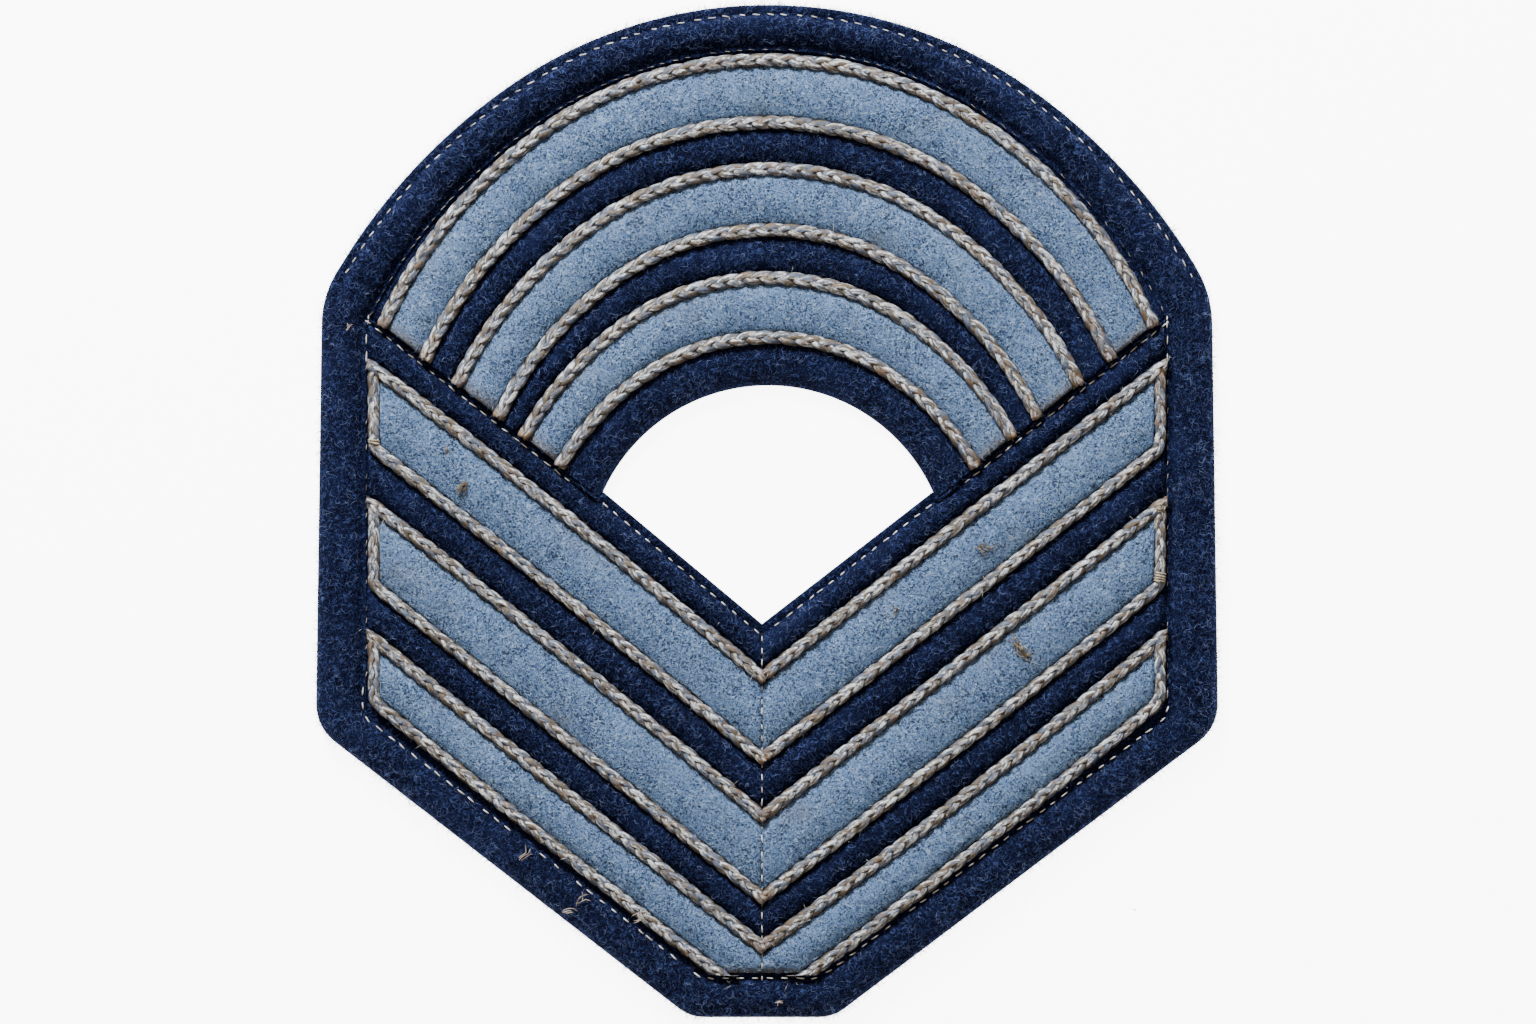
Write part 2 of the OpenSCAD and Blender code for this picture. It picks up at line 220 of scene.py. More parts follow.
# %% Felt and thread finishes
def curls(finish, size, warp, width):
    """Thin curling lines, 1 on a line and 0 between, like fibres seen on end and from the side."""
    return 1 - finish.between(abs(finish.noise(size, 1.0, 0.5, warp) - 0.5), 0.0, width)


def navy_felt():
    finish = Finish("navy felt")
    grain = finish.noise(0.34, 3.0, 0.75)
    long_curls = curls(finish, 1.6, 2.0, 0.05)
    short_curls = curls(finish, 0.9, 1.6, 0.07)
    rubbed = finish.between(finish.noise(8.0, 3.0), 0.45, 0.75)
    colour = finish.layers(
        (5, 6, 15), (finish.between(grain, 0.42, 0.66), (19, 25, 57)), (rubbed * 0.35, (27, 35, 73)),
        (short_curls * finish.between(grain, 0.40, 0.60) * 0.5, (41, 54, 102)),
        (long_curls * 0.75, (62, 77, 128)))
    return finish.done(colour, grain * 0.5 + short_curls * 0.4 + long_curls * 0.5, 0.36, 0.9, 0.03)


def light_blue_felt():
    finish = Finish("light-blue felt")
    grain = finish.noise(0.3, 3.0, 0.7)
    pale_curls = curls(finish, 1.6, 2.0, 0.06)
    dark_curls = curls(finish, 1.2, 2.2, 0.07)
    worn = finish.between(finish.noise(7.0, 3.0), 0.5, 0.7)
    crowding = finish.noise(5.0)
    specks = finish.between(finish.noise(0.45, 1.0, 0.5, 0.5) + crowding * 0.25, 0.67, 0.78)
    stains = finish.between(finish.noise(16.0), 0.58, 0.76)
    raw_end = finish.mark("wear") * finish.between(grain, 0.36, 0.56)
    colour = finish.layers(
        (62, 85, 125), (finish.between(grain, 0.3, 0.7), (124, 154, 199)), (worn * 0.35, (120, 148, 182)),
        (dark_curls * finish.between(crowding, 0.2, 0.6) * 0.68, (46, 58, 80)),
        (pale_curls * 0.6, (166, 192, 222)), (specks * 0.8, (30, 40, 60)), (stains * 0.3, (108, 106, 100)),
        (raw_end * 0.9, (112, 98, 70)))
    return finish.done(colour, grain * 0.6 + pale_curls * 0.4 - dark_curls * 0.5, 0.26)


def plain_thread(name, first, second, size=1.2):
    """A dyed thread whose colour wanders between two shades."""
    finish = Finish(name)
    colour = finish.layers(first, (finish.between(finish.noise(size), 0.35, 0.65), second))
    return finish.done(colour, finish.noise(0.2, 1.0), 0.05, 0.7)


NAVY = navy_felt()
LIGHT_BLUE = light_blue_felt()
CREAM_THREAD = plain_thread("cream thread", (194, 188, 178), (248, 245, 240), 3.0)
# A darker copy of the cream thread, for painted shade on stitches that lie in a groove.
SHADED_THREAD = plain_thread("shaded thread", (76, 76, 80), (184, 178, 168), 2.0)
DARK_THREAD = plain_thread("dark thread", (24, 24, 34), (66, 62, 62))
TAN_THREAD = plain_thread("tan wrapping", (108, 98, 86), (176, 166, 150), 0.7)
PULLED_THREAD = plain_thread("pulled thread", (150, 134, 120), (216, 200, 184))
BROWN_FIBRE = plain_thread("brown fibre", (84, 72, 52), (154, 138, 110))
PALE_FIBRE = plain_thread("pale cord fibre", (150, 150, 150), (226, 224, 216))
NAVY_FIBRE = plain_thread("navy fibre", (40, 48, 84), (104, 118, 158), 2.0)
BLUE_FIBRE = plain_thread("light-blue fibre", (120, 146, 180), (186, 204, 224), 2.0)
SPECK_FIBRE = plain_thread("dark speck fibre", (26, 36, 56), (62, 80, 108), 2.0)
print("finishes:", len(bpy.data.materials))

# %% [markdown]
# ## Arches and arms
# Every line on the badge comes from the same few numbers as the CAD source: three-centred arches above,
# and slightly bowed arms below. A piece lies between two such lines, so the same functions place felt,
# cord and stitches, and nothing is placed by eye.

# %% Lines of the arcs
ARCH_X = 0.2
ARCH_TURN = math.radians(35)
# An arch: the height of its centre, then its radius in the middle and at the flanks
OUTLINE_ARCH = (10.55, 90.65, 118.8)
BINDING_INNER_ARCH = (12.4, 79.65, 106.3)
HOLE_ARCH = (-11.1, 36.2, 36.2)
CORD_ARCHES = [(12.4, 77.8, 96.1), (9.2, 68.5, 88.2), (7.8, 60.6, 84.4),
               (4.0, 52.2, 73.7), (-2.4, 49.0, 69.4), (-9.2, 43.9, 56.5)]
HOLE_HALF_W = 32.9
SEAM_IN_Y, SEAM_RUN, SEAM_RISE = 1.7, 46.3, 36.6
SEAM_START = np.array([ARCH_X + HOLE_HALF_W, SEAM_IN_Y])
SEAM_SLOPE = SEAM_RISE / SEAM_RUN
SEAM_TURN = math.atan(SEAM_SLOPE)


def to_points(*axes):
    """Points from their coordinates; a lone number goes to every point."""
    return np.stack(np.broadcast_arrays(*axes), axis=-1)


def arch_points(arch, out, leans):
    """Points of an arch, out mm outside it, where its normal leans by these angles from +Y."""
    height, middle, flank = arch
    on_flank = abs(leans) > ARCH_TURN
    shift = np.where(on_flank, middle - flank, 0.0)
    radius = np.where(on_flank, flank, middle) + out
    return to_points(ARCH_X + shift * np.sign(leans) * math.sin(ARCH_TURN) + radius * np.sin(leans),
                     height + shift * math.cos(ARCH_TURN) + radius * np.cos(leans))


def flank_centre(arch):
    """The centre of an arch's right flank."""
    height, middle, flank = arch
    shift = middle - flank
    return np.array([ARCH_X + shift * math.sin(ARCH_TURN), height + shift * math.cos(ARCH_TURN)])


def seam_lean(arch, out, lift):
    """How far an arch leans where it meets the line lift mm above the seam."""
    normal = np.array([-math.sin(SEAM_TURN), math.cos(SEAM_TURN)])
    below = lift - normal @ (flank_centre(arch) - SEAM_START)
    return math.acos(below / (arch[2] + out)) - SEAM_TURN


def upright_lean(arch, x):
    """How far an arch leans where it meets an upright line."""
    return math.asin((x - flank_centre(arch)[0] + ARCH_X) / arch[2])


def arc_line(arch, out, lift, amount):
    """An arch from seam to seam."""
    end = seam_lean(arch, out, lift)
    return arch_points(arch, out, np.linspace(-end, end, amount))


print("seam leans", [round(math.degrees(seam_lean(arch, 0, 0)), 1) for arch in CORD_ARCHES])

# %% Lines of the chevrons
LEFT, RIGHT = -1, 1
SIDES = {"left": LEFT, "right": RIGHT}
BARS = [(number, word) for number in (1, 2, 3) for word in SIDES]
SEAM_X = -1.0
END_CORD_X = 78.6
ARM_END_Y = [28.6, 12.5, 1.0, -14.9, -25.6, -38.1]
ARM_DROPS = [61.8, 62.0, 62.1, 62.5, 61.6, 61.1]
ARM_BOWS = {LEFT: [0.9, 0.6, 0.8, 0.2, -0.3, -0.5], RIGHT: [0, 0, -0.1, -0.7, -1.2, -1.2]}
HALF_W, SHOULDER_HALF_W = 90.2, 88.95
SHOULDER_Y, LOW_CORNER_Y, BOTTOM_Y = 43.4, -43.2, -101.2
BOTTOM_X = {LEFT: -15.4, RIGHT: 13.2}
LOW_SLOPE = {side: (LOW_CORNER_Y - BOTTOM_Y) / (HALF_W - abs(x)) for side, x in BOTTOM_X.items()}
BINDING_W, BINDING_BOTTOM_W = 10.1, 7.4
BINDING_LOW_W = {LEFT: 8.2, RIGHT: 7.7}
INNER_X = HALF_W - BINDING_W
INNER_BOTTOM_Y = BOTTOM_Y + BINDING_BOTTOM_W
ARM_CUT_Y = INNER_BOTTOM_Y + 0.9
HOLE_CORNER_Y, HOLE_POINT_Y = 3.8, -22.6
STEP_OUT, FAR_OUT = 1.1, 60


def arm_y(cord, side, x, below=0.0):
    """Height of a chevron cord at x; below is a distance square to the arm."""
    span = abs(side * END_CORD_X - SEAM_X)
    share = (END_CORD_X - side * x) / span
    slant = math.hypot(1, ARM_DROPS[cord] / span)
    bow = 4 * ARM_BOWS[side][cord] * share * (1 - share)
    return ARM_END_Y[cord] - ARM_DROPS[cord] * share + bow - below * slant


def across_line(point_y, corner_y, step_out, lower=0.0):
    """Heights over x of the opening's V and, past a short step at its corners, of the seam over the arcs."""
    outs = np.array([0, step_out, FAR_OUT])
    ys = [corner_y, *(SEAM_IN_Y + outs[1:] * SEAM_SLOPE - lower)]
    xs = HOLE_HALF_W + outs
    all_xs = [*(ARCH_X - xs[::-1]), SEAM_X, *(ARCH_X + xs)]
    return lambda x: np.interp(x, all_xs, [*ys[::-1], point_y, *ys])


seam_y = across_line(HOLE_POINT_Y, HOLE_CORNER_Y, STEP_OUT)


def low_y(x, side, inside):
    """Height of the badge's lower diagonal and bottom edge, inside mm in from the outline."""
    slope = LOW_SLOPE[side]
    diagonal = LOW_CORNER_Y - slope * (HALF_W - abs(x)) + inside * math.hypot(1, slope)
    return np.maximum(diagonal, BOTTOM_Y + inside * BINDING_BOTTOM_W / BINDING_LOW_W[side])


print("arms end at", [round(arm_y(cord, LEFT, SEAM_X), 1) for cord in range(6)])

# %% [markdown]
# ## Skins
# A felt piece could be a cushion simulation, but it is pressed flat and sewn all round, so its section
# hardly changes along its length. Each piece is therefore one closed skin: rows of points that run round
# the section, with the same stations along the piece, and a random drift that lifts and dents the nap.

# %% Skins from rows of points
chance = np.random.default_rng(11)
LATTICE = chance.uniform(-1, 1, (48, 48, 48, 3))
# How far the nap's fine dents and broad lumps go, their size, and how deep they reach below the crest
DENTS, DENT_SIZE = 0.09, 1.3
LUMPS, LUMP_SIZE = np.array([0.08, 0.08, 0.16]), 6.0
NAP_DEPTH = 1.6


def with_height(line, z):
    """Adds a height to flat points."""
    return to_points(line[..., 0], line[..., 1], z)


def ease(amount):
    """A soft step from 0 to 1."""
    amount = np.clip(amount, 0, 1)
    return amount * amount * (3 - 2 * amount)


def drift(points, size):
    """A smooth random vector from -1 to 1 at each point, with lumps of that size in mm."""
    cell = np.floor(points / size).astype(int)
    part = ease(points / size - cell)
    total = 0
    for corner in np.ndindex(2, 2, 2):
        weight = np.prod(np.where(corner, part, 1 - part), axis=-1)
        place = (cell + corner) % len(LATTICE)
        total = total + weight[..., None] * LATTICE[place[..., 0], place[..., 1], place[..., 2]]
    return total


def ruffle(rows, top):
    """Lifts and dents the nap, more on top of a strip than at its foot."""
    share = np.clip((rows[..., 2:] - top + NAP_DEPTH) / NAP_DEPTH, 0, 1)
    return rows + share * (drift(rows, DENT_SIZE) * DENTS + drift(rows, LUMP_SIZE) * LUMPS)


def skin(rows, closed=False):
    """Points and faces of a skin round these rows; its ends are closed unless it runs in a ring."""
    index = np.arange(rows.shape[0] * rows.shape[1]).reshape(rows.shape[:2])
    if closed:
        index = np.concatenate([index, index[:, :1]], axis=1)
    below = np.roll(index, -1, axis=0)
    quads = [index[:, :-1], below[:, :-1], below[:, 1:], index[:, 1:]]
    faces = np.stack(quads, axis=-1).reshape(-1, 4).tolist()
    if not closed:
        faces += [index[::-1, 0].tolist(), index[:, -1].tolist()]
    return rows.reshape(-1, 3), faces


print("random values for the nap:", LATTICE.size)


# %% Pieces that ride the frame
def inside_out(points, faces):
    """Whether a closed mesh's faces look inwards; then its volume comes out below zero."""
    fans = np.array([(face[0], *pair) for face in faces for pair in zip(face[1:], face[2:])])
    first, second, third = points[fans.T]
    return np.einsum("ij,ij->", first, np.cross(second, third)) < 0


def mesh_object(name, points, faces, finish):
    """Puts a mesh in the scene, from points in mm."""
    mesh = bpy.data.meshes.new(name)
    mesh.from_pydata((np.asarray(points) * MM).tolist(), [], faces, shade_flat=False)
    mesh.materials.append(finish)
    return add(name, mesh)


def make(name, points, faces, finish, slot, nodes=(), marks=None):
    """Makes a piece from points in mm, writes marks on its points, and ties it to the frame."""
    if inside_out(points, faces):
        faces = [face[::-1] for face in faces]
    piece = mesh_object(name, points, faces, finish)
    for mark, values in (marks or {}).items():
        kind, word = ("FLOAT_VECTOR", "vector") if values.ndim == 2 else ("FLOAT", "value")
        piece.data.attributes.new(mark, kind, "POINT").data.foreach_set(word, values.ravel())
    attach(piece, "root")
    if nodes:
        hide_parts(*nodes)
    print(f"{name}: {sum(len(face) - 2 for face in faces)} triangles")
    return piece


surfaces = {}


def felt_piece(name, rows, finish, slot, node, wear=None, closed=False):
    """Makes a felt piece, and remembers its rows for the fibres that are scattered over them later."""
    surfaces[name] = rows
    marks = None if wear is None else {"wear": wear.ravel()}
    return make(name, *skin(rows, closed), finish, slot, [node], marks)


# %% [markdown]
# ## Light-blue arcs and bars
# These are felt strips over a thin padding, held down along both edges by the cords, so they are crowned:
# steep at the edge and rounding over to the middle. A dip follows the centre seam, where the thread pulls
# the two mitred halves down. A mark on the points says how near the raw, yellowed ends are.

# %% Light-blue felt
GROUND_T = 2.0
BASE_Z = GROUND_T + 0.05
BAR_EDGE, BAR_CREST = BASE_Z + 0.7, BASE_Z + 1.95
BAR_END_LIFT = 0.5
BAR_FOOT_Y = ARM_CUT_Y + 0.5
WORN_END, WORN_FOOT = 2.2, 1.5
# How far the felt's edge lies from a cord's middle, and how far apart the stations are
FELT_OFFSET = 1.22
STEP = 0.62
DIP_DEPTH, DIP_W = 0.5, 0.55
ACROSS = np.array([0, 0.01, 0.03, 0.065, 0.11, 0.17, 0.24, 0.31, 0.38, 0.45, 0.52, 0.59,
                   0.66, 0.73, 0.79, 0.85, 0.9, 0.94, 0.97, 0.99, 1])


def crown(share):
    """The height of a padded strip across its width: mostly a parabola, steeper at its edges."""
    away = abs(2 * share - 1)
    return 0.8 * (1 - away ** 2) + 0.2 * np.maximum(0, 1 - away ** 8) ** 0.5


def strip_rows(outer, inner):
    """Rows of a light-blue strip between two lines, from its foot up over the crown and down again."""
    crowned = [with_height(outer + share * (inner - outer), BAR_EDGE + (BAR_CREST - BAR_EDGE) * crown(share))
               for share in ACROSS]
    return ruffle(np.array([with_height(outer, BASE_Z), *crowned, with_height(inner, BASE_Z)]), BAR_CREST)


def seam_dip(rows):
    """Draws felt down along the centre seam."""
    rows = rows.copy()
    dip = DIP_DEPTH * np.exp(-(((rows[..., 0] - SEAM_X) / DIP_W) ** 2))
    rows[..., 2] = np.maximum(rows[..., 2] - dip, np.minimum(rows[..., 2], BASE_Z))
    return rows


def light_blue_piece(name, rows, node, wear):
    piece = felt_piece(name, rows, LIGHT_BLUE, "light_blue_felt", node, np.clip(wear, 0, 1))


for number in (1, 2, 3):
    upper, lower = CORD_ARCHES[2 * number - 2:2 * number]
    stations = int(2 * seam_lean(upper, 0, 0) * upper[1] / STEP)
    rows = strip_rows(arc_line(upper, -FELT_OFFSET, BAR_END_LIFT, stations),
                      arc_line(lower, FELT_OFFSET, BAR_END_LIFT, stations))
    from_end = np.minimum(np.arange(stations), np.arange(stations)[::-1]) * STEP
    light_blue_piece(f"light_blue_arc_{number}", rows, f"arc_bar_{number}",
                     np.broadcast_to(1 - from_end / WORN_END, rows.shape[:2]))

for number, word in BARS:
    side, out_x = SIDES[word], END_CORD_X - FELT_OFFSET
    xs = np.linspace(side * out_x, SEAM_X, int((out_x + 1) / STEP))
    upper_y = arm_y(2 * number - 2, side, xs, FELT_OFFSET)
    lower_y = np.maximum(arm_y(2 * number - 1, side, xs, -FELT_OFFSET), BAR_FOOT_Y)
    rows = seam_dip(strip_rows(to_points(xs, upper_y), to_points(xs, lower_y)))
    light_blue_piece(f"light_blue_bar_{number}_{word}", rows, f"chevron_bar_{number}_{word}",
                     1 - (rows[..., 1] - BAR_FOOT_Y) / WORN_FOOT)

# %% [markdown]
# ## Navy grounds
# The ground is one thickness of felt with padded ribs between the bars. It could be a flat plate with the
# ribs laid on it, but then a seam would show, so the top is one run of rows: flat where a cord or bar
# hides it and crowned in between. Underneath it is plain, and thinner where the binding holds it.

# %% Navy arc ground
PRESSED_T = 1.0
ARC_STATIONS = 300
INSET = 2.2
RIB_EDGE, RIB_CREST = GROUND_T + 0.1, GROUND_T + 1.6
# Where the flat rows beside a rib lie under the cord, the last rib's drop to the opening, and how far
# above the seam the rows past it lie
TUCK = FELT_OFFSET - 0.05
RIM_DROP = 0.9
LAP_LIFTS = (-4.0, -3.8, 0.02)


def rib_height(share):
    return RIB_EDGE + (RIB_CREST - RIB_EDGE) * crown(share)


def ground_line(arch, out, z):
    """A row of the arc ground; past the seam it goes on for 4 mm, pressed thin under the lap."""
    end, near, fold = (arc_line(arch, out, lift, 2) for lift in LAP_LIFTS)
    inner = arc_line(arch, out, 0.05, ARC_STATIONS)
    line = np.concatenate([end[:1], near[:1], fold[:1], inner, fold[1:], near[1:], end[1:]])
    heights = np.full(len(line), float(z))
    heights[[0, 1, 2, -3, -2, -1]] = min(z, PRESSED_T - 0.05)
    return with_height(line, heights)


def ribbed(first, second, second_out=FELT_OFFSET, drop=0.0):
    """Rows of a navy rib between two arches, without the feet; its second edge lies lower by drop."""
    rows = []
    for share in ACROSS:
        high = rib_height(share) - drop * share ** 2
        a, b = ground_line(first, -FELT_OFFSET, high), ground_line(second, second_out, high)
        rows.append(a + share * (b - a))
    return rows


rows = [ground_line(OUTLINE_ARCH, -INSET, z) for z in (PRESSED_T, GROUND_T)]
rows += [ground_line(CORD_ARCHES[0], out, GROUND_T) for out in (2.5, 0, -FELT_OFFSET)]
for k in (1, 3):
    rows.append(ground_line(CORD_ARCHES[k], -TUCK, GROUND_T))
    rows += ribbed(CORD_ARCHES[k], CORD_ARCHES[k + 1])
    rows.append(ground_line(CORD_ARCHES[k + 1], TUCK, GROUND_T))
rows.append(ground_line(CORD_ARCHES[5], -TUCK, GROUND_T))
rows += ribbed(CORD_ARCHES[5], HOLE_ARCH, 0.05, RIM_DROP)
rows += [ground_line(HOLE_ARCH, *row) for row in ((0.0, 0.8), (0.15, 0.0), (0.5, 0.0))]
rows += [ground_line(arch, 0, 0.0) for arch in CORD_ARCHES[::-1]]
rows += [ground_line(BINDING_INNER_ARCH, *row) for row in ((-0.4, 0.0), (0, 0.0), (0.05, PRESSED_T))]
rows = np.array(rows)
rows[..., 0] = np.clip(rows[..., 0], INSET - SHOULDER_HALF_W, SHOULDER_HALF_W - INSET)
piece = felt_piece("navy_arc_ground", ruffle(rows, RIB_CREST), NAVY, "navy_felt", "arc_ground")

# %% Navy chevron grounds
LIP_IN, LIP_SIDE_IN, LIP_STEP_OUT = 2.5, 1.3, 1.6
strip_top_y = across_line(HOLE_POINT_Y - LIP_IN, HOLE_CORNER_Y - LIP_IN, LIP_STEP_OUT, LIP_SIDE_IN)
# Across the lip: share of its width, height along the opening, height of the piping over the arcs
LIP = [
    (0, 1.5, 1.6), (0.06, 1.9, 2.1), (0.2, 2.06, 2.42), (0.45, 2.1, 2.6), (0.62, 2.04, 2.5),
    (0.76, 1.96, 2.2), (0.86, 1.94, 1.98), (1, 2.0, 2.0)]
# The corner of the opening: how wide its step is, and how far, wide and high the felt swells outside it
CORNER_W = 0.8
SWELL_OUT, SWELL_W, SWELL_HIGH = 3.6, 2.2, 0.9
# The lap over the arc ground: its width, and how far outside the opening's corner it starts
LAP_W, LAP_OUT = 4.15, 1.8


def chevron_rows(side):
    """Rows of one chevron ground: its top from the seam down, then its plain back."""
    out_x = HALF_W - INSET
    turns = [side * out_x, ARCH_X + side * (HOLE_HALF_W + CORNER_W), ARCH_X + side * HOLE_HALF_W, SEAM_X]
    steps = [int(run / STEP) + 1 for run in (out_x - HOLE_HALF_W, CORNER_W, HOLE_HALF_W + 1)]
    xs = np.concatenate([np.linspace(turns[k], turns[k + 1], steps[k], endpoint=k == 2) for k in range(3)])
    beyond = abs(xs - ARCH_X) - HOLE_HALF_W
    # The ribs run out before the binding, which also hides the ground's slanting upper corner
    flat = np.clip((INNER_X - 0.4 - abs(xs)) / 0.6, 0, 1)
    piping = np.clip(beyond / 2, 0, 1)
    swell = SWELL_HIGH * np.exp(-(((beyond - SWELL_OUT) / SWELL_W) ** 2))
    lowest = low_y(xs, side, INSET)
    highest = SHOULDER_Y - 2 + 1.5 * (out_x - abs(xs))
    top = seam_y(xs)
    lines = [(top, 0.0)]
    for share, plain, piped in LIP:
        height = plain + piping * (piped - plain) + swell * math.sqrt(1 - share)
        lines.append((top + share * (strip_top_y(xs) - top), height))

    def arm(cord, below=0.0):
        return arm_y(cord, side, xs, below)

    def rib(first, second):
        return [(first + share * (second - first), GROUND_T + (rib_height(share) - GROUND_T) * flat)
                for share in ACROSS]

    lines += rib(strip_top_y(xs) - 0.02, arm(0, -FELT_OFFSET))
    for k in (1, 3):
        lines += [(arm(k - 1, -TUCK), GROUND_T), (arm(k, TUCK), GROUND_T)]
        lines += rib(arm(k, FELT_OFFSET), arm(k + 1, -FELT_OFFSET))
    lines += [(arm(4, -TUCK), GROUND_T), (arm(5), GROUND_T), (arm(5, FELT_OFFSET), GROUND_T)]
    rows = []
    for k, (y, z) in enumerate(lines):
        y = np.clip(y, lowest + 0.02 * (len(lines) - k), highest - 0.01 * k)
        rows.append(to_points(xs, y, z))
    rows = list(seam_dip(ruffle(np.array(rows), RIB_CREST)))
    held = np.where(abs(xs) > INNER_X, PRESSED_T, 0.0)
    lapped = np.maximum(held, np.where(beyond > LAP_OUT, PRESSED_T, 0.0))
    lap_end = top - LAP_W / math.cos(SEAM_TURN)
    inner_low = low_y(xs, side, BINDING_LOW_W[side])
    for y, z in ((lowest, GROUND_T), (lowest, PRESSED_T), (inner_low, PRESSED_T), (inner_low + 0.1, held),
                 (inner_low + 0.5, held), (lap_end - 0.5, held), (lap_end - 0.1, held), (lap_end, lapped),
                 (top - 0.02, lapped)):
        rows.append(to_points(xs, np.clip(y, lowest, highest - 0.01), z))
    rows[0][:, 2] = rows[-1][:, 2]
    return np.array(rows)


for word, side in SIDES.items():
    piece = felt_piece(f"navy_chevron_ground_{word}", chevron_rows(side), NAVY, "navy_felt",
                       f"chevron_ground_{word}")

# %% [markdown]
# ## Binding
# The edge binding is a soft felt strip folded over the ground. Its section could be swept by a curve
# with a bevel, but it changes on the way round: over the arcs it has a flat lip outside a row of
# topstitching, down the sides it is round with a sunk inner edge, and along the bottom it ends at a row
# of stitches. So three sections are blended along the edge.

# %% Lines of the binding
BEND_STEPS = 12
# The outline's and the inner edge's corners: where the arch stops short of the shoulder, and how far
# each corner is rounded
OUTER_TURN, OUTER_REACHES = math.radians(3.6), (6, 5, 3)
INNER_TURN, INNER_REACHES = math.radians(1), (0.6, 0.6, 0.6)
EDGE_STEP = 0.75


def bend(before, corner, after, reach):
    """A corner rounded by a parabola."""
    first = corner + reach * (before - corner) / np.linalg.norm(before - corner)
    last = corner + reach * (after - corner) / np.linalg.norm(after - corner)
    t = np.linspace(0, 1, BEND_STEPS)[:, None]
    return (1 - t) ** 2 * first + 2 * t * (1 - t) * corner + t ** 2 * last


def edge_line(arch, end, corners, reaches):
    """The badge's edge clockwise from the left end of its arch; corners(side) gives the rest of a side."""
    halves = {}
    for side in (LEFT, RIGHT):
        points = np.vstack([arch_points(arch, 0, side * end), corners(side)])
        halves[side] = [bend(*points[k:k + 3], reaches[k]) for k in range(3)]
    over = arch_points(arch, 0, np.linspace(-end, end, 360))
    return np.concatenate([over, *halves[RIGHT], *(part[::-1] for part in halves[LEFT][::-1])])


def outer_corners(side):
    return [(side * SHOULDER_HALF_W, SHOULDER_Y), (side * HALF_W, LOW_CORNER_Y),
            (BOTTOM_X[side], BOTTOM_Y), (0, BOTTOM_Y)]


def inner_corners(side):
    slope = LOW_SLOPE[side]
    rise = BINDING_LOW_W[side] * math.hypot(1, slope)
    foot_x = HALF_W - (LOW_CORNER_Y - INNER_BOTTOM_Y + rise) / slope
    top_y = arch_points(BINDING_INNER_ARCH, 0, upright_lean(BINDING_INNER_ARCH, INNER_X))[1]
    corner_y = low_y(INNER_X, side, BINDING_LOW_W[side])
    return [(side * INNER_X, top_y), (side * INNER_X, corner_y), (side * foot_x, INNER_BOTTOM_Y),
            (0, INNER_BOTTOM_Y)]


def fill_in(pair, step):
    """Adds stations on the straight runs of two lines that go side by side."""
    ahead = np.roll(pair, -1, axis=1) - pair
    found = []
    for k, length in enumerate(np.linalg.norm(ahead[0], axis=-1)):
        amount = max(1, int(length / step))
        found += [pair[:, k] + ahead[:, k] * t for t in np.arange(amount) / amount]
    return np.stack(found, axis=1)


# %% The outline and the binding's inner edge
outer_end = upright_lean(OUTLINE_ARCH, SHOULDER_HALF_W) - OUTER_TURN
inner_end = upright_lean(BINDING_INNER_ARCH, INNER_X) - INNER_TURN
outer_edge, inner_edge = fill_in(
    np.stack([edge_line(OUTLINE_ARCH, outer_end, outer_corners, OUTER_REACHES),
              edge_line(BINDING_INNER_ARCH, inner_end, inner_corners, INNER_REACHES)]), EDGE_STEP)
across = inner_edge - outer_edge
width = np.linalg.norm(across, axis=1, keepdims=True)
print("binding width in mm:", round(float(width.min()), 1), "to", round(float(width.max()), 1))


def binding_line(mm, share, z):
    """A line round the badge, mm and a share of the binding's width in from the outline."""
    return with_height(outer_edge + across / width * (mm + share * width), z)


# %% Binding
# A section's columns: distance from the outline, share of the width added to it, height
SIDE_SECTION = [
    (1.2, 0, 0), (0.4, 0, 0.25), (0.06, 0, 0.9), (-0.08, 0, 1.6), (-0.1, 0, 2.2), (0.08, 0, 2.7),
    (0.46, 0, 3.15), (1.1, 0, 3.52), (1.9, 0, 3.8), (0, 0.29, 4.0), (0, 0.38, 4.14), (0, 0.48, 4.2),
    (0, 0.58, 4.14), (0, 0.68, 3.92), (-2.3, 1, 3.58), (-1.8, 1, 3.18), (-1.45, 1, 2.8), (-1.2, 1, 2.5),
    (-1.0, 1, 2.3), (-0.65, 1, 2.32), (-0.3, 1, 2.5), (-0.08, 1, 2.5), (0, 1, 2.36)]
LOW_SECTION = SIDE_SECTION[:13] + [
    (0, 0.67, 3.96), (-1.9, 1, 3.7), (-1.3, 1, 3.34), (-0.95, 1, 3.02), (-0.68, 1, 2.74), (-0.48, 1, 2.54),
    (-0.3, 1, 2.44), (-0.16, 1, 2.4), (-0.05, 1, 2.38), (0, 1, 2.34)]
ARCH_SECTION = [
    (0.9, 0, 0), (0.35, 0, 0.25), (0.08, 0, 0.8), (-0.06, 0, 1.4), (-0.1, 0, 2.0), (0, 0, 2.4),
    (0.3, 0, 2.66), (0.8, 0, 2.76), (1.4, 0, 2.7), (1.8, 0, 2.5), (2.1, 0, 2.82), (2.5, 0, 3.46),
    (3.0, 0, 3.92), (3.8, 0, 4.16), (4.8, 0, 4.1), (0, 0.64, 3.84), (-2.45, 1, 3.4), (-1.85, 1, 2.95),
    (-1.4, 1, 2.5), (-1.05, 1, 2.24), (-0.75, 1, 2.14), (-0.3, 1, 2.32), (0, 1, 2.3)]
INNER_SECTION = [(0, 1, 2.08), (1.6, 0, 2.07), (1.6, 0, 0.96), (0, 0.8, 0.96), (0, 0.8, 0), (-0.3, 0.8, 0)]
BINDING_CREST = 4.2

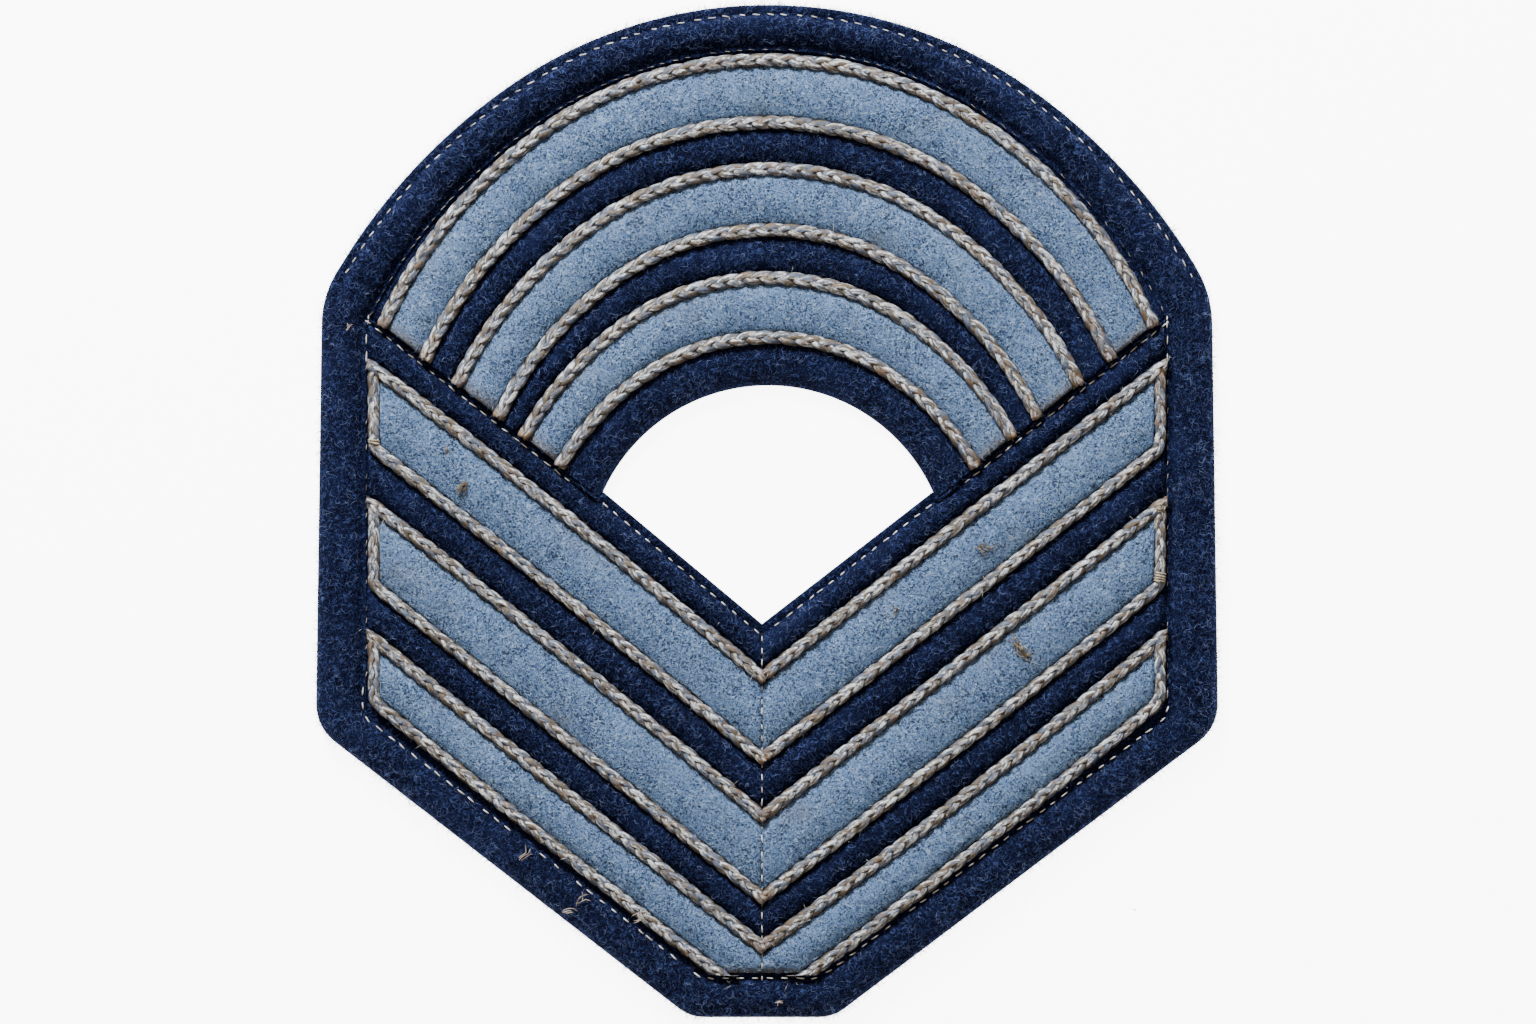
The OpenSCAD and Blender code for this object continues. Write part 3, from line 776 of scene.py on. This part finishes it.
on_arch = ease((outer_edge[:, 1:] - SHOULDER_Y + 2) / 9)
on_low = ease((LOW_CORNER_Y + 2 - outer_edge[:, 1:]) / 5)
rows = []
for sections in zip(SIDE_SECTION, ARCH_SECTION, LOW_SECTION):
    plain, above, below = (binding_line(*row) for row in sections)
    rows.append(plain + on_arch * (above - plain) + on_low * (below - plain))
rows += [binding_line(*row) for row in INNER_SECTION]
piece = felt_piece("felt_binding", ruffle(np.array(rows), BINDING_CREST), NAVY, "navy_felt", "edge_binding",
                   closed=True)

# %% [markdown]
# ## Braided cord
# The cord is a flat plait of three strands of silky yarn. A texture on a round rod would look right only
# from above, so each strand is its own flattened tube: it lies along one edge, crosses to the other, and
# rises and dips twice on the way, a third of a turn behind the next strand. Marks on its points give the
# lay of the yarns, painted shade in the slits between strands and where a strand dips under the next,
# and the brown wear at the cord's ends.


# %% Cord finish
def cord_finish():
    finish = Finish("braided cord")
    lay = finish.mark("lay", "Vector")
    streaks = finish.noise(0.12, 2.0, 0.6, where=lay)
    tones = finish.noise(0.7, 1.0, where=lay)
    white_and_glint = finish.noise(0.55, 2.0, 0.6, where=lay)
    fuzz = finish.noise(0.45, 3.0, 0.7, 0.5)
    # White patches are partly pale yarn and partly painted highlight, where the silky yarn would glint.
    light = finish.between(white_and_glint * 0.8 + fuzz * 0.2, 0.475, 0.61)
    dark = finish.between(streaks * 0.8 + fuzz * 0.2, 0.54, 0.37)
    flecks = finish.between(finish.noise(2.2, 2.0, 0.6), 0.54, 0.66)
    # The depth mark paints shade: slits between strands, the core and dipping strands go near black.
    colour = finish.layers(
        (114, 102, 86), (finish.between(tones, 0.42, 0.58), (98, 110, 132)), (light, (234, 237, 241)),
        (dark * 0.8, (52, 50, 54)), (flecks * 0.5 + finish.mark("wear") * 0.6, (122, 96, 70)),
        (finish.mark("depth"), (14, 14, 20)))
    return finish.done(colour, streaks * 0.7 + fuzz * 0.6, 0.18, 0.55, 0.3)


CORD = cord_finish()
print("nodes in the cord's finish:", len(CORD.node_tree.nodes))

# %% Plaited strands
PLAIT_LENGTH, PLAIT_STEP = 10.0, 0.65
# A strand's swing to the sides and how sharply it turns back, its rise, and the cord's rounding
SWING, STEEP, RISE, BULGE = 0.66, 1.5, 0.3, 0.22
STRAND_W = 0.75
CORD_Z = 3.72
CORE_W, CORE_DROP = 1.5, 0.6
# A cord's end: how full it is, over how many mm it fills out, and over how many it is worn
TIP, TIP_RUN, WORN_RUN = 0.9, 4.0, 2.5
WOBBLE_SIZE = 2.4
LAY_STEP = 0.14
# Across a strand: share of its half width, height, how much painted shade the slit puts on it
STRAND = [
    (-1, -0.18, 1), (-0.87, 0.04, 1), (-0.75, 0.14, 0.2), (-0.4, 0.26, 0), (0, 0.3, 0), (0.4, 0.26, 0),
    (0.75, 0.14, 0.2), (0.87, 0.04, 1), (1, -0.18, 1), (0.6, -0.28, 1), (-0.6, -0.28, 1)]


def along(path, step):
    """The same line with a point at every step, and its length so far at each."""
    gone = np.concatenate([[0], np.cumsum(np.linalg.norm(np.diff(path, axis=0), axis=1))])
    stops = np.linspace(0, gone[-1], max(3, int(gone[-1] / step)))
    return to_points(*(np.interp(stops, gone, axis) for axis in path.T)), stops


def unit(vectors):
    return vectors / np.linalg.norm(vectors, axis=-1, keepdims=True)


def right_of(ahead):
    """Flat directions a quarter turn to the right of these."""
    return to_points(ahead[..., 1], -ahead[..., 0])


def strand(line, beside, width, height, swing, shade_under, wear, section=STRAND):
    """One flattened tube: its line, side direction, half width, height, distance off the cord's middle,
    how much painted shade it takes where it lies under the others, and how worn it is."""
    rows, lay, depth = [], [], []
    run = chance.uniform(0, 90) + np.arange(len(line)) * LAY_STEP
    for share, high, dark in section:
        off = share * width
        beyond = swing + off
        top = height + high * width / STRAND_W - BULGE * beyond ** 2
        rows.append(with_height(line + beside * off[:, None], top))
        lay.append(to_points(run, off, high))
        # The slits' painted shade fades out towards the cord's outer edges.
        shown = np.clip((SWING + STRAND_W - abs(beyond)) / 0.25, 0.2, 1)
        depth.append(np.clip(dark * shown + shade_under, 0, 1))
    marks = {"lay": np.reshape(lay, (-1, 3)) * MM, "depth": np.ravel(depth),
             "wear": np.tile(wear, len(section))}
    return *skin(np.array(rows)), marks


# %% A cord of three strands
def plait(path, lift=0.0, squeeze=1.0, tip=TIP):
    """The three strands of a cord that lies along a flat path, over a core painted dark as the shade in its
    gaps.
    """
    line, gone = along(path, PLAIT_STEP)
    ahead = unit(np.gradient(line, axis=0))
    beside = right_of(ahead)
    from_end = np.minimum(gone, gone[-1] - gone)
    full = np.clip(np.where(gone < gone[-1] / 2, tip, TIP) + from_end / TIP_RUN, 0, 1) * squeeze
    start = chance.uniform(0, PLAIT_LENGTH)
    wear = np.clip(1.1 - from_end / WORN_RUN, 0, 1)
    middle_z = CORD_Z + lift
    # The core takes full painted shade, and shows as dark shadow through the gaps.
    parts = [strand(line, beside, CORE_W * full * STRAND_W, middle_z - CORE_DROP, 0.0, 1.0, wear,
                    STRAND[::2])]
    for k in range(3):
        turn = 2 * math.pi * ((gone + start) / PLAIT_LENGTH + k / 3)
        wobble = drift(to_points(gone, start * 9, k * 5.0), WOBBLE_SIZE)
        swing = (SWING * np.tanh(STEEP * np.sin(turn)) / math.tanh(STEEP) + 0.08 * wobble[:, 0]) * full
        rise = RISE * np.sin(2 * turn)
        slope = np.gradient(swing, gone)[:, None]
        side_way = (beside - slope * ahead) / np.hypot(1, slope)
        width = STRAND_W * full * (1 + 0.12 * wobble[:, 2])
        height = middle_z + rise + 0.08 * wobble[:, 1]
        # Painted shade where a strand dips under the next one.
        shade_under = 0.2 * np.clip(-rise / RISE, 0, 1)
        parts.append(strand(line + beside * swing[:, None], side_way, width, height, swing, shade_under, wear))
    return parts


# %% Cords
SQUASH = 0.95
# How far a chevron's upper cord runs past its end cord, and how far before it the lower one leaves the bend
END_PAST, END_BEND = 2.4, 2.0
# How far from the seam a chevron's cords stop, and how high they lie, so that two ends don't collide
SEAM_GAP = {LEFT: 0.7, RIGHT: 0.5}
CORD_LIFT = {LEFT: 0.08, RIGHT: 0.0}
cord_lines = {}


def cord_piece(name, node, paths):
    """Joins the plaited runs of one cord into a piece; the binding's edge squashes a chevron's cord."""
    points, faces, marks = zip(*(part for path in paths for part in plait(*path)))
    starts = np.cumsum([0] + [len(part) for part in points]).tolist()
    faces = [[v + start for v in face] for start, part in zip(starts, faces) for face in part]
    points = np.concatenate(points)
    marks = {mark: np.concatenate([part[mark] for part in marks]) for mark in marks[0]}
    if node.startswith("chevron"):
        past_side = np.maximum(abs(points[:, 0]) - INNER_X + 0.1, 0)
        points[:, 0] -= SQUASH * np.sign(points[:, 0]) * past_side
        points[:, 1] += SQUASH * np.maximum(INNER_BOTTOM_Y + 1.0 - points[:, 1], 0)
    make(name, points, faces, CORD, "braided_cord", [node], marks)


def cut_x(side):
    """Where the binding cuts off the lowest cord."""
    xs = np.linspace(side * END_CORD_X, SEAM_X, 400)
    return xs[np.argmax(arm_y(5, side, xs) < ARM_CUT_Y - 2.4)]


for number, arch in enumerate(CORD_ARCHES, 1):
    cord_lines[f"arc_{number}"] = [arc_line(arch, 0, 0.1, 200)]
    cord_piece(f"braid_arc_{number}", f"arc_cord_{number}", [cord_lines[f"arc_{number}"]])

for number, word in BARS:
    side, upper, lower = SIDES[word], 2 * number - 2, 2 * number - 1
    xs = np.linspace(side * (END_CORD_X + END_PAST), SEAM_X + SEAM_GAP[side], 60)
    low_xs = np.linspace(side * (END_CORD_X - END_BEND), cut_x(side) if number == 3 else xs[-1], 60)
    upper_run = to_points(xs, arm_y(upper, side, xs))
    lower_run = to_points(low_xs, arm_y(lower, side, low_xs))
    corner = np.array([side * END_CORD_X, ARM_END_Y[lower]])
    top = np.array([side * END_CORD_X, ARM_END_Y[upper] + 0.5])
    round_run = np.concatenate([top[None], bend(top, corner, lower_run[0], 1.6), lower_run])
    lift = CORD_LIFT[side]
    cord_lines[f"bar_{number}_{word}"] = [upper_run, lower_run]
    cord_piece(f"braid_bar_{number}_{word}", f"chevron_cord_{number}_{word}",
               [(upper_run, lift, 0.95, 0.4), (round_run, lift - 0.15, 0.93)])

# %% [markdown]
# ## Stitches
# A lockstitch shows as short dashes of thread that dip into the cloth at each end. Each one is a small
# closed spindle on its own arched path; the rows follow the lines of the pieces at a pitch of 2.5 mm, or
# 2.9 mm round the outside. Where a row lies on a flank that rubs or in a groove, its thread is thin and
# partly hidden, and a darker copy of the cream thread paints the groove's shade on it.

# %% Threads and stitches
UP = np.array([0, 0, 1.0])
# Along a stitch: share of its length, and for the five points between its ends, how thick it is
STITCH_SHARES = np.array([-0.56, -0.48, -0.3, 0, 0.3, 0.48, 0.56])
STITCH_SWELL = (0.75, 1, 1.05, 1, 0.75)
STITCH_DIP = 0.3


def spindles(paths, radius, sides, swell=1.0):
    """Closed threads, one for each path: a point at both ends and round between."""
    amount, rings = paths.shape[:2]
    ahead = unit(np.gradient(paths, axis=1))
    beside = unit(np.cross(ahead, UP))
    above = np.cross(beside, ahead)
    turn = 2 * math.pi * np.arange(sides)[:, None] / sides
    size = np.reshape(radius, (-1, 1, 1, 1)) * np.broadcast_to(swell, rings - 2)[:, None, None]
    round_it = np.cos(turn) * beside[:, 1:-1, None] + np.sin(turn) * above[:, 1:-1, None]
    ring = paths[:, 1:-1, None] + size * round_it
    points = np.concatenate([paths[:, :1], ring.reshape(amount, -1, 3), paths[:, -1:]], axis=1)
    end = points.shape[1] - 1
    last = end - sides
    faces = []
    for k in range(sides):
        n = (k + 1) % sides
        faces += [[0, 1 + k, 1 + n], [end, last + n, last + k]]
        for a in range(1, last, sides):
            faces += [[a + k, a + sides + k, a + sides + n], [a + k, a + sides + n, a + n]]
    faces = np.array(faces)[None] + (end + 1) * np.arange(amount)[:, None, None]
    return points.reshape(-1, 3), faces.reshape(-1, 3).tolist()


def thread_piece(name, paths, radius, finish, sides, swell=1.0, slot="braided_cord"):
    make(name, *spindles(paths, radius, sides, swell), finish, slot)


def stitch_piece(name, paths, radius, finish=CREAM_THREAD, sides=6):
    thread_piece(name, paths, radius, finish, sides, STITCH_SWELL)


# %% Rows of stitches
def stitches(line, length, height=0.16, slant=0.0, missing=0.0, pitch=2.5):
    """Paths of a row of stitches along a line of points in space."""
    spots = along(line, pitch)[0]
    ahead = unit(np.gradient(spots, axis=0))
    beside = unit(np.cross(ahead, UP))
    keep = chance.random(len(spots)) >= missing
    spots, ahead, beside = spots[keep], ahead[keep], beside[keep]
    amount = len(spots)
    spots = spots + ahead * chance.normal(0, 0.08 * pitch, (amount, 1))
    rise = np.array([-STITCH_DIP, -0.04, height * 0.8, height, height * 0.8, -0.04, -STITCH_DIP])
    reach = length * chance.uniform(0.75, 1.15, (amount, 1, 1))
    lean = ahead + beside * (slant + chance.normal(0, 0.07, (amount, 1)))
    paths = spots[:, None] + STITCH_SHARES[:, None] * reach * lean[:, None]
    paths[..., 2] += rise + chance.normal(0, 0.03, (amount, 1))
    return paths


# %% Topstitching along the binding
LOW_ROWS_Y = -36
OUTER_PITCH = 2.9
arch_end = int(np.argmax(outer_edge[:, 1] < SHOULDER_Y + 2))
outer_row = binding_line(1.85, 0, 2.5)[:arch_end]
stitch_piece("outer_topstitching", stitches(outer_row, 1.5, 0.12, 0.15, 0.04, OUTER_PITCH), 0.115)
# The lower row runs further out on the left diagonal than on the right one
on_left, on_right = (ease((side * outer_edge[:, 0] - 14) / 6) for side in (LEFT, RIGHT))
outward = 1.1 * on_left + 0.35 * on_right
inner_row = binding_line(-0.05, 1, 2.4)
low_row = binding_line(0.35 - outward[:, None], 1, 2.4 + 0.45 * outward)[inner_row[:, 1] < LOW_ROWS_Y]
stitch_piece("lower_topstitching", stitches(low_row, 1.5, 0.24, 0.06, 0.05, OUTER_PITCH), 0.125)
shown, sunk = [], []
for side in (LEFT, RIGHT):
    row = inner_row[arch_end:][inner_row[arch_end:, 0] * side > 0]
    shown.append(stitches(row[row[:, 1] > ARM_END_Y[0] + 1.5], 2.0, 0.05))
    beside_bars = (row[:, 1] < ARM_END_Y[0]) & (row[:, 1] > LOW_ROWS_Y)
    sunk.append(stitches(row[beside_bars], 1.2, slant=0.15, missing=0.2))
stitch_piece("shoulder_topstitching", np.concatenate(shown), 0.11)
# Beside the bars the same row lies in the groove, so its darker thread is painted shade.
stitch_piece("side_topstitching", np.concatenate(sunk), 0.065, SHADED_THREAD)
arch_row = binding_line(-0.3, 1, 2.34)[:arch_end]
# The row round the arch's inner edge lies in the groove too, with the same painted shade.
stitch_piece("arch_stitching", stitches(arch_row, 1.2, slant=0.15, missing=0.25), 0.06, SHADED_THREAD, 5)

# %% Topstitching along the seams
LIP_ROW_IN, LIP_ROW_Z = 2.36, 2.06
SEAM_ROW_IN, SEAM_ROW_Z = 1.17, 2.2
paths = []
for side in (LEFT, RIGHT):
    xs = np.linspace(INNER_X - 0.4, HOLE_HALF_W + 7, 60) * side
    lip_xs = np.linspace(HOLE_HALF_W - 0.6, 2.2, 60) * side
    paths += [stitches(to_points(xs, seam_y(xs) - SEAM_ROW_IN, SEAM_ROW_Z), 1.6, 0.24),
              stitches(to_points(lip_xs, seam_y(lip_xs) - LIP_ROW_IN, LIP_ROW_Z), 1.3)]
stitch_piece("seam_topstitching", np.concatenate(paths), 0.115)

# The felt's height down the centre seam, every half millimetre
seam_heights = {}
for name in ("navy_chevron_ground_left", *(f"light_blue_bar_{number}_left" for number in (1, 2, 3))):
    for x, y, z in surfaces[name][:, -1]:
        if z > GROUND_T - DIP_DEPTH:
            key = round(y * 2) / 2
            seam_heights[key] = max(seam_heights.get(key, 0), z)
ys = sorted(seam_heights)
run = np.linspace(HOLE_POINT_Y - 2.9, ARM_CUT_Y - 0.3, 240)
seam_line = to_points(SEAM_X, run, np.interp(run, ys, [seam_heights[y] for y in ys]) + 0.02)
stitch_piece("centre_seam_stitching", stitches(seam_line, 1.5), 0.12)
# Dark thread under the stitches is painted shadow: it stands for the shade in the centre seam's crease.
stitch_piece("centre_seam_shadow", stitches(seam_line, 2.4, 0.0), 0.15, DARK_THREAD, 5)

# %% [markdown]
# Small dark stitches hold each cord down where it meets the light-blue felt. They lie in the crease along
# the cord's flank every two millimetres, half sunk. A dark line in the finish would be too even, so each
# is a thread with its own length and slant. At two outer corners the cord's loose ends are bound with a
# few turns of tan thread, and at a third they are knotted.

# %% Couching stitches and wrapped corners
COUCHING_PITCH, COUCHING_OUT, COUCHING_Z = 1.9, 1.3, 3.0
WRAP_PITCH, WRAP_HALF_W, WRAP_FOOT_Z, WRAP_HIGH = 0.52, 1.3, 2.3, 1.85


def couching(line, toward):
    """Dark dashes in the crease beside a cord; toward is which side of the line it is on."""
    spots = along(line, COUCHING_PITCH)[0]
    ahead = unit(np.gradient(spots, axis=0))
    beside = right_of(ahead) * toward
    amount = len(spots)
    reach = chance.uniform(0.6, 1.3, (amount, 1, 1))
    lean = ahead[:, None] + beside[:, None] * chance.normal(0, 0.25, (amount, 1, 1))
    flat = (spots + beside * COUCHING_OUT)[:, None] + np.linspace(-0.5, 0.5, 5)[:, None] * reach * lean
    high = COUCHING_Z + np.array([-0.4, 0, 0.12, 0, -0.4]) + chance.normal(0, 0.08, (amount, 1))
    return with_height(flat, high)


def wrapping(x, y, turns, way):
    """Turns of thread over a cord at a place; way is the cord's direction there."""
    t = np.linspace(-1, 1, 9)
    ahead = np.array([math.cos(way), math.sin(way)])
    paths = []
    for k in range(turns):
        lean = chance.normal(0.1, 0.08)
        spot = np.array([x, y]) + ahead * (k - turns / 2) * WRAP_PITCH
        flat = spot + t[:, None] * (lean * ahead - WRAP_HALF_W * right_of(ahead))
        paths.append(with_height(flat, WRAP_FOOT_Z + WRAP_HIGH * np.sqrt(1 - 0.97 * t ** 4)))
    return paths


paths = [couching(cord_lines[f"arc_{number}"][0], RIGHT if number % 2 else LEFT) for number in range(1, 7)]
for number, word in BARS:
    upper_run, lower_run = cord_lines[f"bar_{number}_{word}"]
    paths += [couching(upper_run, -SIDES[word]), couching(lower_run, SIDES[word])]
wraps = wrapping(END_CORD_X, ARM_END_Y[3] + 1.9, 4, math.pi / 2 - 0.1)
wraps += wrapping(-END_CORD_X, ARM_END_Y[1] + 1.6, 2, math.pi / 2)
ring = np.linspace(0.2, 6.4, 9)
knot_at = np.array([END_CORD_X, ARM_END_Y[2] - 0.1])
wraps += [with_height(knot_at + size * to_points(np.cos(ring), np.sin(ring)), high)
          for size, high in ((0.2, 4.4), (0.6, 4.35), (1.05, 4.1))]
thread_piece("couching_stitches", np.concatenate(paths), 0.11, DARK_THREAD, 4)
thread_piece("wrapped_corners", np.array(wraps), 0.24, TAN_THREAD, 6)

# %% [markdown]
# The lip along the opening is whipped over its raw edge, so short ribs of navy yarn cross it. A bump
# could draw them, but not where the edge shows against the floor, so they are threads as well.

# %% Ribs across the lip
RIBS, RIB_REACH, RIB_SLANT = 52, 1.75, 0.35
RIB_SHARES = np.array([0, 0.15, 0.5, 0.85, 1])
RIB_HEIGHTS = np.array([1.5, 1.93, 1.99, 1.94, 1.8])


def lip_ribs(side):
    """Short yarns across the lip, from its edge to the row of stitches."""
    xs = np.linspace(HOLE_HALF_W - 0.8, 1.8, RIBS) * side + chance.normal(0, 0.08, RIBS)
    along_lip = unit(np.array([1.0, (HOLE_CORNER_Y - HOLE_POINT_Y) / HOLE_HALF_W * side]))
    reach = RIB_REACH * right_of(along_lip) + side * RIB_SLANT * along_lip
    return with_height(to_points(xs, seam_y(xs))[:, None] + RIB_SHARES[:, None] * reach, RIB_HEIGHTS)


ribs = np.concatenate([lip_ribs(side) for side in (LEFT, RIGHT)])
thread_piece("ribs_across_lip", ribs, 0.2, NAVY, 5, slot="navy_felt")

# %% [markdown]
# ## Fibres
# Felt looks hard without its loose fibres. Bump in the finish can't stand out past the outline, so short
# curled threads are scattered over every felt surface, most of them lying nearly flat, and longer ones
# stand out of the outer edge. The cords have shed a few pale hairs too.

# %% Loose fibres
THIN, THICKER = (0.022, 0.04), (0.025, 0.045)
FIBRE_LIFT = 0.18


def scatter(rows, amount, lowest):
    """Random spots on a skin's upward faces above lowest, and their normals."""
    a, b, c, d = rows[:-1, :-1], rows[1:, :-1], rows[:-1, 1:], rows[1:, 1:]
    normal = np.cross(b - a, c - a)
    normal = np.where(normal[..., 2:] < 0, -normal, normal)
    area = np.linalg.norm(normal, axis=-1)
    centre = (a + b + c + d) / 4
    area = np.where((centre[..., 2] > lowest) & (normal[..., 2] > 0.15 * area), area, 0).ravel()
    picks = chance.choice(len(area), amount, p=area / area.sum())
    u, v = chance.random((2, amount, 1))
    a, b, c, d, normal = (part.reshape(-1, 3)[picks] for part in (a, b, c, d, normal))
    return a * (1 - u) * (1 - v) + b * u * (1 - v) + c * (1 - u) * v + d * u * v, unit(normal)


def lying_fibres(rows, amount, lowest, reach=(0.8, 2.0)):
    """Curled fibres that lie on a felt surface, with both ends in it."""
    places, normals = scatter(rows, amount, lowest)
    ahead = unit(np.cross(normals, chance.normal(0, 1, (amount, 3))))
    beside = np.cross(normals, ahead)
    reach = chance.uniform(*reach, (amount, 1, 1))
    t = np.linspace(-0.5, 0.5, 6)[:, None]
    arch = np.array([-0.6, 0.5, 1, 1, 0.5, -0.6])[:, None] * FIBRE_LIFT
    arch = arch * chance.uniform(0.4, 1.4, (amount, 1, 1))
    curl = (1 - 4 * t * t) * reach * chance.normal(0, 0.35, (amount, 1, 1))
    twist = np.sin(t * 6) * reach * chance.normal(0, 0.15, (amount, 1, 1))
    return (places[:, None] + t * reach * ahead[:, None] + (curl + twist) * beside[:, None]
            + arch * normals[:, None])


def fibre_piece(name, paths, finish, slot, thickness=THIN):
    paths = np.concatenate(paths)
    thread_piece(name, paths, chance.uniform(*thickness, len(paths)), finish, 3, slot=slot)


for kind, finish, per_mm, reach in (("pale", BLUE_FIBRE, 4, (0.7, 1.7)),
                                    ("dark", SPECK_FIBRE, 3.5, (0.4, 1.3))):
    for part in ("arc", "bar"):
        paths = [lying_fibres(rows, int(np.ptp(rows[..., 0]) * per_mm), BAR_EDGE + 0.2, reach)
                 for name, rows in surfaces.items() if name.startswith(f"light_blue_{part}")]
        fibre_piece(f"{kind}_fibres_on_{part}s", paths, finish, "light_blue_felt")
paths = [lying_fibres(surfaces["navy_arc_ground"], 1700, RIB_EDGE + 0.3)]
paths += [lying_fibres(surfaces[f"navy_chevron_ground_{word}"], 1250, RIB_EDGE + 0.3) for word in SIDES]
fibre_piece("fibres_on_navy_grounds", paths, NAVY_FIBRE, "navy_felt")
fibre_piece("fibres_on_binding", [lying_fibres(surfaces["felt_binding"], 4400, 2.5)], NAVY_FIBRE, "navy_felt")


# %% Fibres that stand out of the outline and the cords
def edge_fibres(line, centre, amount, reach, low=0.5, high=3.2):
    """Fine fibres that stand out of an edge, away from the centre line beside it."""
    picks = chance.integers(0, len(line), amount)
    places = line[picks]
    outward = unit(places - centre[picks])
    reach = reach * np.minimum(chance.gamma(2.0, 0.5, (amount, 1, 1)), 2.2)
    t = np.array([0, 0.35, 0.7, 1])[:, None]
    sway = chance.normal(0, 0.5, (amount, 1, 1)) * t + chance.normal(0, 0.35, (amount, 1, 1)) * t * t
    turned = t * outward[:, None] - sway * right_of(outward)[:, None]
    rise = chance.uniform(low, high, (amount, 1)) + chance.normal(0, 0.4, (amount, 1)) * t[:, 0]
    return with_height((places - 0.3 * outward)[:, None] + reach * turned, np.maximum(rise, 0.1))


fibre_piece("fibres_at_outline", [edge_fibres(outer_edge, inner_edge, 6000, 0.8)], NAVY_FIBRE, "navy_felt",
            THICKER)
hairs = []
for run in (run for runs in cord_lines.values() for run in runs):
    line, gone = along(run, 0.5)
    centre = line - chance.normal(0, 1, line.shape)
    start = centre + 0.9 * unit(line - centre)
    hairs.append(edge_fibres(start, centre, int(gone[-1] / 2.4), 1.0, 3.2, 4.2))
fibre_piece("hairs_on_cords", hairs, PALE_FIBRE, "braided_cord", THICKER)

# %% [markdown]
# ## Wear
# The photograph shows brown lint caught in the felt, pulled threads on the lower left border and a few
# loose ends. Spots of colour could stand for them, but they lie on the nap and throw small shadows, so
# each is a few thin hooked threads at its place on the badge.

# %% Lint, frays and loose ends
# A tuft: its pixel in the photograph, threads, how long and how high they are, and their direction
BROWN_LINT = [
    (463, 488, 9, 3.2, 4.0, 1.2), (448, 450, 3, 1.8, 4.0), (895, 610, 4, 2.0, 4.0),
    (985, 548, 6, 3.0, 4.0, -0.5), (1022, 650, 10, 4.4, 4.0, -0.95), (1013, 642, 6, 3.0, 4.0, -0.8),
    (376, 640, 3, 1.8, 4.3, 0.6)]
PULLED_THREADS = [
    (583, 897, 3, 3.6, 4.3, 1.2), (571, 911, 3, 3.2, 4.0, 0.3), (524, 856, 3, 3.2, 4.2, 0.7),
    (640, 915, 4, 3.4, 4.5, 0.9), (735, 18, 3, 2.4, 3.2, 2.6), (1135, 908, 2, 1.2, 4.2),
    (780, 1000, 3, 1.6, 4.2), (348, 327, 2, 2.0, 4.3, 1.4)]


def tuft(px, py, amount, reach, high, turn=None):
    """A knot of curled threads at a pixel of the photograph's frame."""
    way = chance.uniform(0, 2 * math.pi, amount) if turn is None else chance.normal(turn, 0.35, amount)
    ahead = to_points(np.cos(way), np.sin(way), 0.0)
    beside = np.cross(UP, ahead)
    reach = reach * chance.uniform(0.5, 1.2, (amount, 1, 1))
    t = np.linspace(-0.5, 0.5, 8)[:, None]
    curl = ((1 - 4 * t * t) * chance.normal(0, 0.16, (amount, 1, 1))
            + np.clip(t - 0.2, 0, 1) * chance.normal(0, 1.0, (amount, 1, 1))) * reach
    spots = np.array([*from_photo(px, py), high]) + chance.normal(0, 0.3, (amount, 3)) * [1, 1, 0.2]
    rise = np.array([0, 0.2, 0.35, 0.4, 0.4, 0.35, 0.2, 0])[:, None] * UP
    return spots[:, None] + t * reach * ahead[:, None] + curl * beside[:, None] + rise


for name, tufts, radius, finish in (("brown_lint", BROWN_LINT, 0.08, BROWN_FIBRE),
                                    ("pulled_threads", PULLED_THREADS, 0.055, PULLED_THREAD)):
    thread_piece(name, np.concatenate([tuft(*row) for row in tufts]), radius, finish, 4)

# %% [markdown]
# ## Floor
# The photograph's floor is pure white, and this low light would leave a plain one grey. So the floor
# under the badge is pale and glows as well. It is a stage for the picture, and no part of the badge.

# %% Floor
FLOOR_Z, FLOOR_HALF = -0.15, 2000
floor_finish = Finish("pale floor")
surface = floor_finish.node("ShaderNodeBsdfPrincipled", None,
                            {"Base Color": (0.95, 0.95, 0.95, 1), "Roughness": 0.9,
                             "Emission Color": (1, 1, 1, 1), "Emission Strength": 8.0})
floor_finish.node("ShaderNodeOutputMaterial", None, {"Surface": surface})
corners = [(x * FLOOR_HALF, y * FLOOR_HALF, FLOOR_Z) for x, y in ((-1, -1), (1, -1), (1, 1), (-1, 1))]
floor = mesh_object("floor", corners, [(0, 1, 2, 3)], floor_finish.material)
floor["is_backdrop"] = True
print("floor width in metres:", 2 * FLOOR_HALF * MM)

# %% Sizes and finish
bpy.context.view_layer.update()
triangles = 0
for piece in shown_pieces():
    piece.data.calc_loop_triangles()
    triangles += len(piece.data.loop_triangles)
print("triangles in all:", triangles)
